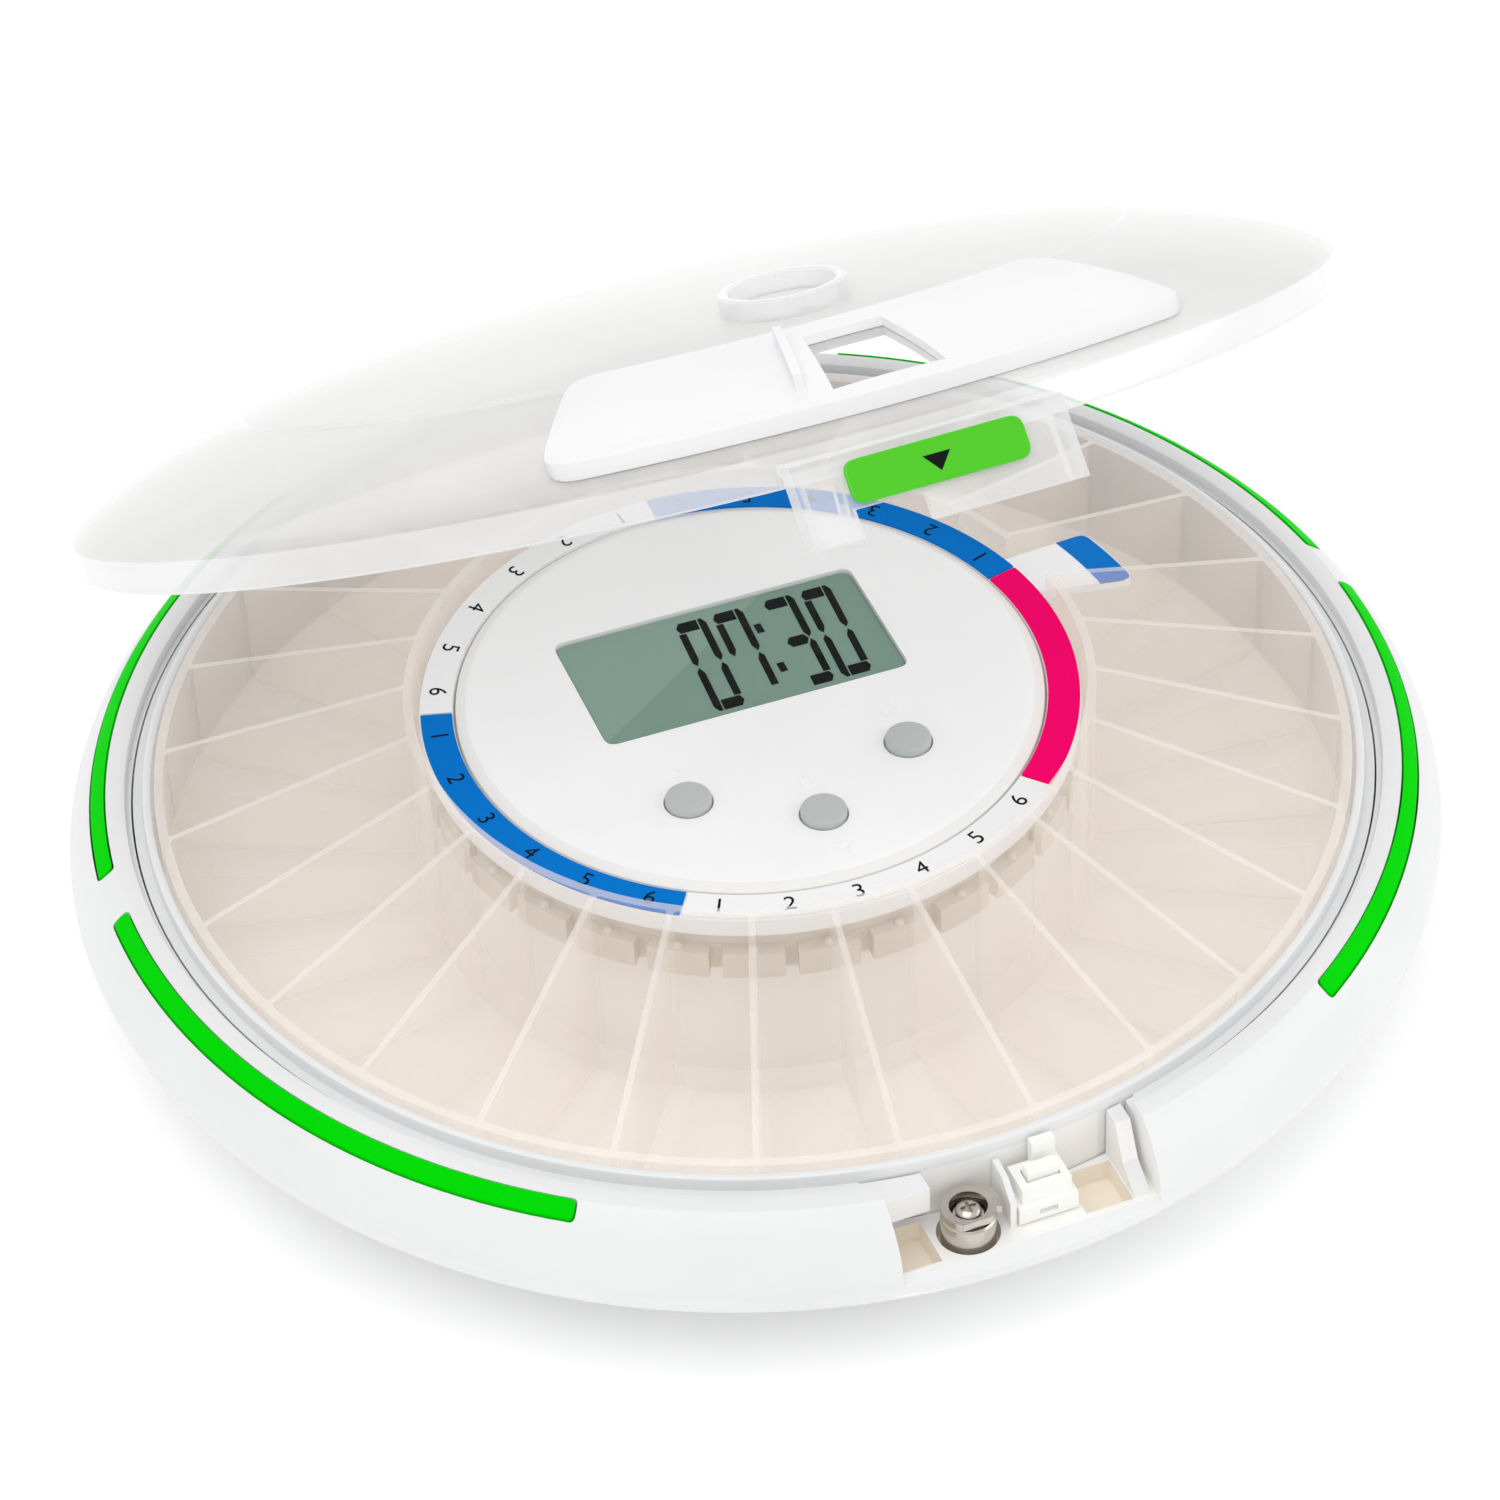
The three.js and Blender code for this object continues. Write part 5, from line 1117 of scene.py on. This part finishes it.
FIGURE = (5.2, 22.9)
FIGURE_FOOT = -2.9
FIGURE_LEAN = 0.05
STROKES = (2.5, 1.25)
SEGMENT_GAP = 0.22
SEGMENT_BITE = 1.4
SEGMENT_TIP = 3
DIGITS = {"0": "abcdef", "3": "abcdg", "7": "abcf"}
TIME = (("0", -6.76), ("7", -0.36), ("3", 8.56), ("0", 15.0))
COLON_PLACES = ((6.9, 3.4), (6.9, 13.9))
COLON_HALF = (0.62, 1.15)


def segment_outlines():
    """The seven bars of a figure, each an outline in a box of the figure's width and height."""
    wide, tall = FIGURE
    flat, stem = STROKES
    gap, middle = SEGMENT_GAP, tall / 2
    inner, outer = wide - stem, wide - stem / 2
    bite = middle + stem * SEGMENT_BITE
    left = [(0.0, tall - flat - gap), (stem, tall - flat - gap), (stem, bite), (stem / 2, middle + gap),
            (0.0, middle + stem)]
    right = [(inner, tall), (outer, tall), (wide, tall - stem), (wide, middle + stem), (outer, middle + gap),
             (inner, bite)]
    top = [(0.0, tall - flat / 2), (stem / 2, tall), (inner - gap, tall), (inner - gap, tall - flat),
           (stem / SEGMENT_TIP, tall - flat)]
    centre = [(stem / 2, middle), (stem, middle + flat / 2), (inner - gap, middle + flat / 2),
              (outer - gap, middle), (inner - gap, middle - flat / 2), (stem, middle - flat / 2)]

    def flipped(outline):
        return [(x, tall - y) for x, y in outline][::-1]

    def mirrored(outline):
        return [(wide - x, y) for x, y in outline][::-1]

    return {"a": top, "b": right, "c": mirrored(flipped(left)), "d": mirrored(flipped(top)),
            "e": mirrored(flipped(right)), "f": left, "g": centre}


def display_figures():
    span = (GLASS_TOP - SINK, GLASS_TOP + FILM)
    outlines = segment_outlines()
    bars = []
    for text, left in TIME:
        for name in DIGITS[text]:
            outline = [(left + x + y * FIGURE_LEAN, FIGURE_FOOT + y) for x, y in outlines[name]]
            bars.append(prism(outline, *span))
    half, tall = COLON_HALF
    for x, y in COLON_PLACES:
        bars.append(prism(rounded_rectangle(half, y - tall, y + tall, FILM, x), *span))
    return merge_loose(bars)


def mark_frame(outline, centre):
    """A thin raised frame in the shape of an outline round a place on the console."""
    outer = prism(shifted(outline, centre), CONSOLE_TOP - SINK, CONSOLE_TOP + MARK_RISE)
    hole = [(x * MARK_HOLE, y * MARK_HOLE) for x, y in outline]
    return cut(outer, prism(shifted(hole, centre), 0.0, CONSOLE_TOP + OVERRUN))


def button_marks():
    frames = [mark_frame(polygon(sides, radius, start), place) for place, sides, start, radius in MARKS]
    return merge_loose(frames)


# Light strips

def light_strip(name):
    start, reach = STRIP_INNER - STRIP_MARGIN, STRIP_WIDTH + 2 * STRIP_MARGIN
    radii = [start + reach * step / STRIP_STEPS for step in range(STRIP_STEPS + 1)]
    profile = [(start, STRIP_BOTTOM)] + [(radius, shoulder_height(radius) + STRIP_PROUD) for radius in radii]
    profile.append((STRIP_INNER + STRIP_WIDTH + STRIP_MARGIN, STRIP_BOTTOM))
    return cross(lathe(profile), prism(strip_outline(name, 0.0), STRIP_BOTTOM - SHORT_OVERRUN, TRAY_CROWN))


# Lid

def dome_height(radius, reach, height):
    share = min(radius / reach, 1.0)
    return LID_RIM[1] + height * (1 - share ** DOME_POWERS[0]) ** (1 / DOME_POWERS[1])


def dome_line(reach, height, step_height=DOME_STEP):
    shares = [math.sin(math.radians(QUARTER * step / DOME_RINGS)) for step in range(DOME_RINGS + 1)]
    shares = sorted(shares + list(DOME_STEP_SHARES))
    line = []
    for share in shares:
        raised = step_height if share < sum(DOME_STEP_SHARES) / 2 else 0.0
        line.append((share * reach, dome_height(share * reach, reach, height) + raised))
    return line


def outer_dome(extra):
    """The part of the dome outside its step, moved outward by extra."""
    line = dome_line(LID_RADIUS, DOME_HEIGHT, 0.0)
    return offset_line([point for point in line if point[0] > PANEL[0] - OVERRUN], -extra)


def inner_dome():
    return dome_line(LID_RADIUS - LID_WALL, DOME_HEIGHT - LID_WALL)


def lid_cavity():
    """The space under the lid, reaching halfway into its wall."""
    wall = LID_WALL / 2
    return lathe(dome_line(LID_RADIUS - wall, DOME_HEIGHT - wall) + [(LID_RADIUS - wall, 0.0), (0.0, 0.0)])


def chute_space():
    inner, outer = CHUTE_Y
    outline = [(CHUTE_INNER_X[0], inner), (CHUTE_OUTER_X[0], outer), (CHUTE_OUTER_X[1], outer),
               (CHUTE_INNER_X[1], inner)]
    return prism(outline, LID_RIM[0], LID_CEILING)


def tab_face(height):
    slope = (TAB_BOTTOM[0] - TAB_TOP[0]) / (TAB_BOTTOM[1] - TAB_TOP[1])
    return TAB_TOP[0] + (height - TAB_TOP[1]) * slope


def front_tab():
    foot, under = TAB_BOTTOM[1], TAB_TOP[1] - TAB_PLATE
    back = tab_face(under) + TAB_WALL
    wall = sideways([(TAB_ROOT, TAB_TOP[1]), TAB_TOP, TAB_BOTTOM, (TAB_BOTTOM[0] + TAB_WALL, foot),
                     (back, under), (TAB_ROOT, under)], (-TAB_HALF, TAB_HALF))
    cheek = [TAB_TOP, TAB_BOTTOM, (TAB_BOTTOM[0] + TAB_WALL + CHEEK[1], foot), (back + CHEEK[1], under),
             (back + CHEEK[1], TAB_TOP[1])]
    cut(wall, block(TAB_NOTCH, (-BODY_RADIUS, CATCH[1][0] - GAP), (foot - OVERRUN, foot + TAB_NOTCH_HEIGHT)))
    sides = ((-TAB_HALF, CHEEK[0] - TAB_HALF), (TAB_HALF - CHEEK[0], TAB_HALF))
    join(wall, *[sideways(cheek, xs) for xs in sides])
    striker, prong = [block(xs, ys, (low, TAB_TOP[1])) for xs, ys, low in (STRIKER, CATCH)]
    hook = block((CATCH[0][0], CATCH_FOOT[0]), CATCH[1], (CATCH[2], CATCH[2] + CATCH_FOOT[1]))
    return join(wall, striker, prong, hook)


def lid_boss():
    inner, outer = BOSS_RADIUS - BOSS_WALL, BOSS_RADIUS
    ring = lathe([(inner, -OVERRUN), (outer, -OVERRUN), (outer, BOSS_RISE - BOSS_ROUND),
                  (outer - BOSS_ROUND, BOSS_RISE), (inner + BOSS_ROUND, BOSS_RISE),
                  (inner, BOSS_RISE - BOSS_ROUND)], SMOOTH)
    top = dome_height(-BOSS_Y, LID_RADIUS, DOME_HEIGHT) + DOME_STEP
    return cut(moved(turned(ring, BOSS_TILT, "X"), (0.0, BOSS_Y, top)), lid_cavity())


def lid_shell():
    rim = [(LID_RADIUS, LID_RIM[0] + LID_ROUND), (LID_RADIUS - LID_ROUND, LID_RIM[0]),
           (LID_RADIUS - LID_WALL, LID_RIM[0])]
    dome = lathe(dome_line(LID_RADIUS, DOME_HEIGHT) + rim + inner_dome()[::-1])
    tab = cut(front_tab(), lid_cavity())
    join(dome, tab, lid_boss())
    half, tall = BARREL_WIDTH / 2, HINGE_ARM_HEIGHT / 2
    ys, zs = (HINGE_ARM_Y, HINGE[0]), (HINGE[1] - tall, HINGE[1] + tall)
    for side in (-1, 1):
        xs = (side * HINGE_OFFSET - half, side * HINGE_OFFSET + half)
        join(dome, block((xs[0] + SINK, xs[1] - SINK), ys, zs), cross_rod(BARREL_RADIUS, xs, HINGE))
    reach = HINGE_OFFSET + BARREL_WIDTH
    return cut(dome, chute_space(), cross_rod(PIN_RADIUS + GAP, (-reach, reach), HINGE))


def lid_panel():
    plan = sector(*PANEL, (FRONT - PANEL_HALF_ANGLE, FRONT + PANEL_HALF_ANGLE), PANEL_CORNER)
    low = outer_dome(GAP)
    swell_start = PANEL[1] - PANEL_RIM_WIDTH
    swelled = []
    for radius, height in outer_dome(GAP + PANEL_THICKNESS):
        share = min(1.0, max(0.0, (radius - swell_start + PANEL_SWELL) / PANEL_SWELL))
        swelled.append((radius, height + (PANEL_RIM - PANEL_THICKNESS) * share))
    plate = cross(lathe(swelled + low[::-1], start=PANEL_START), prism(plan, LID_RIM[0], LID_CEILING))
    inner, outer = Vector(FIN_INNER), Vector(FIN_OUTER)
    across = Vector([end - start for start, end in zip(FIN_INNER, FIN_OUTER)]).normalized()
    side = Vector((-across.y, across.x)) * FIN_THICKNESS / 2
    outline = [outer + side, outer - side, inner - side, inner + side]
    fin = lathe(outer_dome(GAP + FIN_HEIGHT) + low[::-1], start=PANEL_START)
    join(plate, cross(fin, prism([tuple(point) for point in outline], LID_RIM[0], LID_CEILING)))
    soften(plate, PANEL_ROUND, PANEL_ROUND_STEPS, harden=False)
    return cut(plate, chute_space())


def tab_slant():
    return math.atan2(TAB_TOP[1] - TAB_BOTTOM[1], TAB_TOP[0] - TAB_BOTTOM[0])


def along_tab(height):
    return (height - TAB_BOTTOM[1]) / math.sin(tab_slant())


def onto_tab(thing):
    """Leans a flat piece against the tab's face."""
    thing.data.transform(Matrix.Rotation(tab_slant(), MATRIX_SIZE, "X"))
    return moved(thing, (0.0, *TAB_BOTTOM))


def press_label():
    low, high = [along_tab(height) for height in LABEL_HEIGHTS]
    outline = rounded_rectangle(LABEL_HALF, low, high, LABEL_CORNER)
    return onto_tab(prism(outline, GAP, GAP + LABEL_THICKNESS))


def press_mark():
    """A plain triangle on the green label."""
    middle = along_tab(sum(LABEL_HEIGHTS) / 2)
    outline = [(x * LABEL_MARK_STRETCH, y + middle) for x, y in polygon(*LABEL_MARK)]
    top = GAP + LABEL_THICKNESS
    return onto_tab(prism(outline, top - SINK, top + FILM))


def open_lid(thing):
    pivot = Matrix.Translation(Vector((0.0, *HINGE)) * MM)
    thing.data.transform(pivot @ rotation(-LID_OPEN, "X") @ pivot.inverted())
    return thing


# Lock

def lock_barrel():
    radius, top = BARREL
    ring = lathe([(CAM_BORE, top), (radius - BARREL_EDGE, top), (radius, top - BARREL_EDGE),
                  (radius, BARREL_FOOT), (CAM_BORE, BARREL_FOOT)], SMOOTH, centre=LOCK)
    return cross(ring, body_volume(GAP))


def lock_cam():
    """A collar with a lug, open in the middle round the screw."""
    disc = rod(BARREL[0], *CAM, LOCK, SMOOTH)
    join(disc, prism([LOCK] + shifted([polar(CAM_REACH, angle) for angle in CAM_LUG], LOCK), *CAM))
    span = (CAM[0] - SHORT_OVERRUN, CAM[1] + SHORT_OVERRUN)
    cut(disc, rod(CAM_BORE, *span, LOCK))
    x, y = LOCK
    return cut(disc, block((x - OVERRUN, x + OVERRUN), (y - OVERRUN, y - CAM_FLAT), span))


def lock_plug():
    return rod(PLUG_RADIUS, PLUG_FOOT, CAM[0] - PLUG_DROP, LOCK)


def cam_screw():
    top = CAM[1] - SCREW_SINK
    head = lathe([(radius, top - drop) for radius, drop in SCREW_HEAD], SCREW_FACETS, centre=LOCK)
    x, y = LOCK
    span = (top - SCREW_SLOT_DEPTH, top + SHORT_OVERRUN)
    for long, narrow in (SCREW_SLOT, SCREW_SLOT[::-1]):
        cut(head, block((x - long, x + long), (y - narrow, y + narrow), span))
    return head


# Stage, light and camera

def build_stage():
    half, depth = FLOOR
    floor = block((-half, half), (-half, half), (-depth, 0.0))
    floor.name = "floor"
    floor.data.materials.append(FLOOR_PALE)


def area_light(name, place, size, power):
    data = bpy.data.lights.new(name, "AREA")
    data.shape = "RECTANGLE"
    data.size, data.size_y = size
    data.energy = power
    lamp = link(name, data)
    lamp.location = place
    lamp.rotation_euler = (Vector(LIGHT_TARGET) - Vector(place)).to_track_quat("-Z", "Y").to_euler()


def build_lights():
    world = bpy.data.worlds.new("studio")
    bpy.context.scene.world = world
    world.use_nodes = True
    sky = world.node_tree.nodes["Background"].inputs
    sky["Color"].default_value = (1.0, 1.0, 1.0, 1.0)
    sky["Strength"].default_value = SKY_STRENGTH
    for name, setup in LIGHTS.items():
        area_light(name, *setup)


def build_camera():
    tilt = math.radians(CAMERA_ELEVATION)
    roll = math.radians(CAMERA_ROLL)
    forward = Vector((0.0, math.cos(tilt), -math.sin(tilt)))
    up = Vector((0.0, math.sin(tilt), math.cos(tilt)))
    right = Vector((1.0, 0.0, 0.0))
    place = up * CAMERA_OFFSET[1] - right * CAMERA_OFFSET[0] - forward * CAMERA_DISTANCE
    place.z -= CAMERA_DATUM
    axis_x = right * math.cos(roll) + up * math.sin(roll)
    axis_y = up * math.cos(roll) - right * math.sin(roll)
    pose = Matrix.Translation(place * MM) @ Matrix((axis_x, axis_y, -forward)).transposed().to_4x4()
    data = bpy.data.cameras.new("camera")
    data.sensor_width = SENSOR
    data.lens = SENSOR * FOCAL_SHARE
    camera = link("camera", data)
    camera.matrix_world = rotation(CAMERA_AZIMUTH, "Z") @ pose
    bpy.context.scene.camera = camera


# Assembly

PAINTED = (
    (BODY_WHITE, ("base_cover", "battery_door")),
    (STEEL, ("door_screw", "drive_motor", "hinge_pin_left", "hinge_pin_right")),
    (BOARD, ("light_board", "main_board")),
    (DARK, ("buzzer",)),
    (NYLON, ("motor_pinion",)),
)
PAINTED_SETS = ((RUBBER, "rubber_foot"), (STEEL, "housing_screw"), (CELL, "battery"),
                (STEEL, "battery_contact"))
SET_SIZE = 4


def from_axis(middle):
    return math.hypot(middle.x, middle.y)


def in_bay_pocket(normal, middle):
    inside = BAY_POCKET_FRONT - SINK < middle.y < -WELL_RADIUS and abs(middle.x) < BAY_HALF
    return inside and BAY_UNDERSIDE + GAP < middle.z < BAY_FLOOR - GAP


def in_bay(normal, middle):
    beside = abs(middle.x) < BAY_HALF + SINK and BAY_FRONT - SINK < middle.y < OVERRUN - WELL_RADIUS
    level = BAY_UNDERSIDE + GAP < middle.z < GROOVE_FLOOR - SINK
    return beside and level and (normal.z < HALF or middle.z < BAY_FLOOR + GAP)


def in_bay_back(normal, middle):
    return BAY_LEDGE[0][1] < middle.x < POCKET_WALL[0][0] and in_bay(normal, middle)


def build_body():
    shell = dress(outer_shell(), "shell_skin", BODY_WHITE, "base", "outer_shell", smooth=SHARP_SKIN)
    mark_faces(shell, BAY_WHITE, in_bay)
    mark_faces(shell, BAY_WARM, in_bay_pocket)
    dress(hinge_lugs(), "hinge_lugs", BODY_WHITE, "base", bevel=EDGE_SOFT)
    well = dress(tray_well(), "well_skin", WELL_WHITE, "base", "tray_well", smooth=SHARP_SKIN)
    mark_faces(well, BODY_WHITE, lambda normal, middle: from_axis(middle) > TRAY_RADIUS + GAP)
    mark_faces(well, BAY_WHITE, in_bay_back)
    for name in STRIP_SPANS:
        dress(light_strip(name), f"strip_{name}", STRIP_GREEN, "base", f"light_guide_{name}",
              bevel=EDGE_PLAIN)
    for material, nodes in PAINTED:
        for node in nodes:
            repaint(node, material)
    for material, node in PAINTED_SETS:
        for step in range(SET_SIZE):
            repaint(f"{node}_{step}", material)


def build_carousel():
    tray = dress(pill_tray(), "tray_skin", TRAY_CLEAR, "carousel", "pill_tray", turn=TRAY_TURN,
                 smooth=SHARP_TRAY)
    # Upward faces near the top of the rim and dividers get a painted highlight
    crest = TRAY_RIM - CREST_DROP
    mark_faces(tray, TRAY_HIGHLIGHT, lambda normal, middle: normal.z > CREST_FACING and middle.z > crest)
    dress(drive_ring(), "drive_skin", NYLON, "carousel", "drive_ring", turn=TRAY_TURN, bevel=EDGE_PLAIN)
    dress(drive_studs(), "drive_studs", NYLON, "carousel", turn=TRAY_TURN)
    dress(dosage_ring(), "dosage_skin", LABEL_WHITE, "carousel", "dosage_ring")
    dress(tab_band(), "dosage_tab_band", LABEL_BLUE, "carousel")
    finishes = {"pink": LABEL_PINK, "blue": LABEL_BLUE, "white": LABEL_WHITE}
    for node, span in DOSE_SPANS.items():
        dress(dose_sector(span), node + "_skin", finishes[node.split("_")[2]], "carousel", node)
    dress(dose_numerals(), "dose_numerals", INK, "carousel")


def build_console():
    housing = dress(console_housing(), "console_skin", CONSOLE_WHITE, "base", "console_housing",
                    turn=CONSOLE_TURN, bevel=EDGE_PLAIN)
    mark_faces(housing, CONSOLE_RIM, lambda normal, middle: from_axis(middle) > CONSOLE_FACE + GAP)
    dress(display_lens(), "lens_skin", LENS_CLEAR, "base", "display_lens", turn=CONSOLE_TURN)
    dress(display_figures(), "display_figures", INK, "base", turn=CONSOLE_TURN)
    dress(display_glass(), "display_glass", SCREEN, "base", "display_module", turn=CONSOLE_TURN,
          bevel=EDGE_HAIR)
    dress(button_marks(), "button_marks", CONSOLE_WHITE, "base", turn=CONSOLE_TURN)
    for name, place in BUTTONS.items():
        dress(button(place), f"button_{name}_skin", BUTTON_GREY, f"{name}_button", f"button_{name}",
              turn=CONSOLE_TURN)


def on_lid_highlight(normal, middle):
    """The upright rim and the step round the dome, which get a painted highlight."""
    foot = middle.z < LID_RIM[1]
    step = DOME_STEP_SHARES[0] < from_axis(middle) / LID_RADIUS < DOME_STEP_SHARES[1] and normal.z > 0
    return middle.y > -LID_RADIUS and (foot or step)


def on_lid_fitting(normal, middle):
    """The front tab and the ring on the dome."""
    height = dome_height(from_axis(middle), LID_RADIUS, DOME_HEIGHT) + DOME_STEP + SINK
    boss = math.hypot(middle.x, middle.y - BOSS_Y) < BOSS_RADIUS + GAP and middle.z > height
    return middle.y < -LID_RADIUS or boss


def build_lid():
    shell = dress(lid_shell(), "lid_skin", LID_CLEAR, "lid", "lid_shell", smooth=SHARP_SKIN)
    mark_faces(shell, LID_HIGHLIGHT, on_lid_highlight)
    mark_faces(shell, LID_FITTING, on_lid_fitting)
    open_lid(shell)
    dress(open_lid(lid_panel()), "panel_skin", PANEL_WHITE, "lid", "lid_panel", bevel=EDGE_FINE)
    dress(open_lid(press_label()), "press_skin", LABEL_GREEN, "lid", "press_label", bevel=LABEL_ROUND,
          segments=LABEL_ROUND_STEPS)
    dress(open_lid(press_mark()), "press_mark", INK, "lid")


def build_lock():
    dress(lock_barrel(), "barrel_skin", NICKEL, "base", "lock_barrel", bevel=EDGE_FINE)
    dress(lock_cam(), "cam_skin", NICKEL, "lock", "lock_cam", bevel=EDGE_ROUND)
    dress(lock_plug(), "plug_skin", NICKEL, "lock", "lock_plug", bevel=EDGE_HAIR)
    dress(cam_screw(), "cam_screw_skin", NICKEL, "lock", "cam_screw", smooth=SHARP_SCREW)
    for node in ("latch_body", "latch_plunger"):
        repaint(node, LATCH_WHITE, bevel=EDGE_ROUND)


build_camera()
build_stage()
build_lights()
build_body()
build_carousel()
build_console()
build_lid()
build_lock()
settings = bpy.context.scene
settings.view_settings.view_transform = "Standard"
settings.cycles.transparent_max_bounces = CLEAR_BOUNCES
settings.cycles.max_bounces = LIGHT_BOUNCES
settings.cycles.use_denoising = True
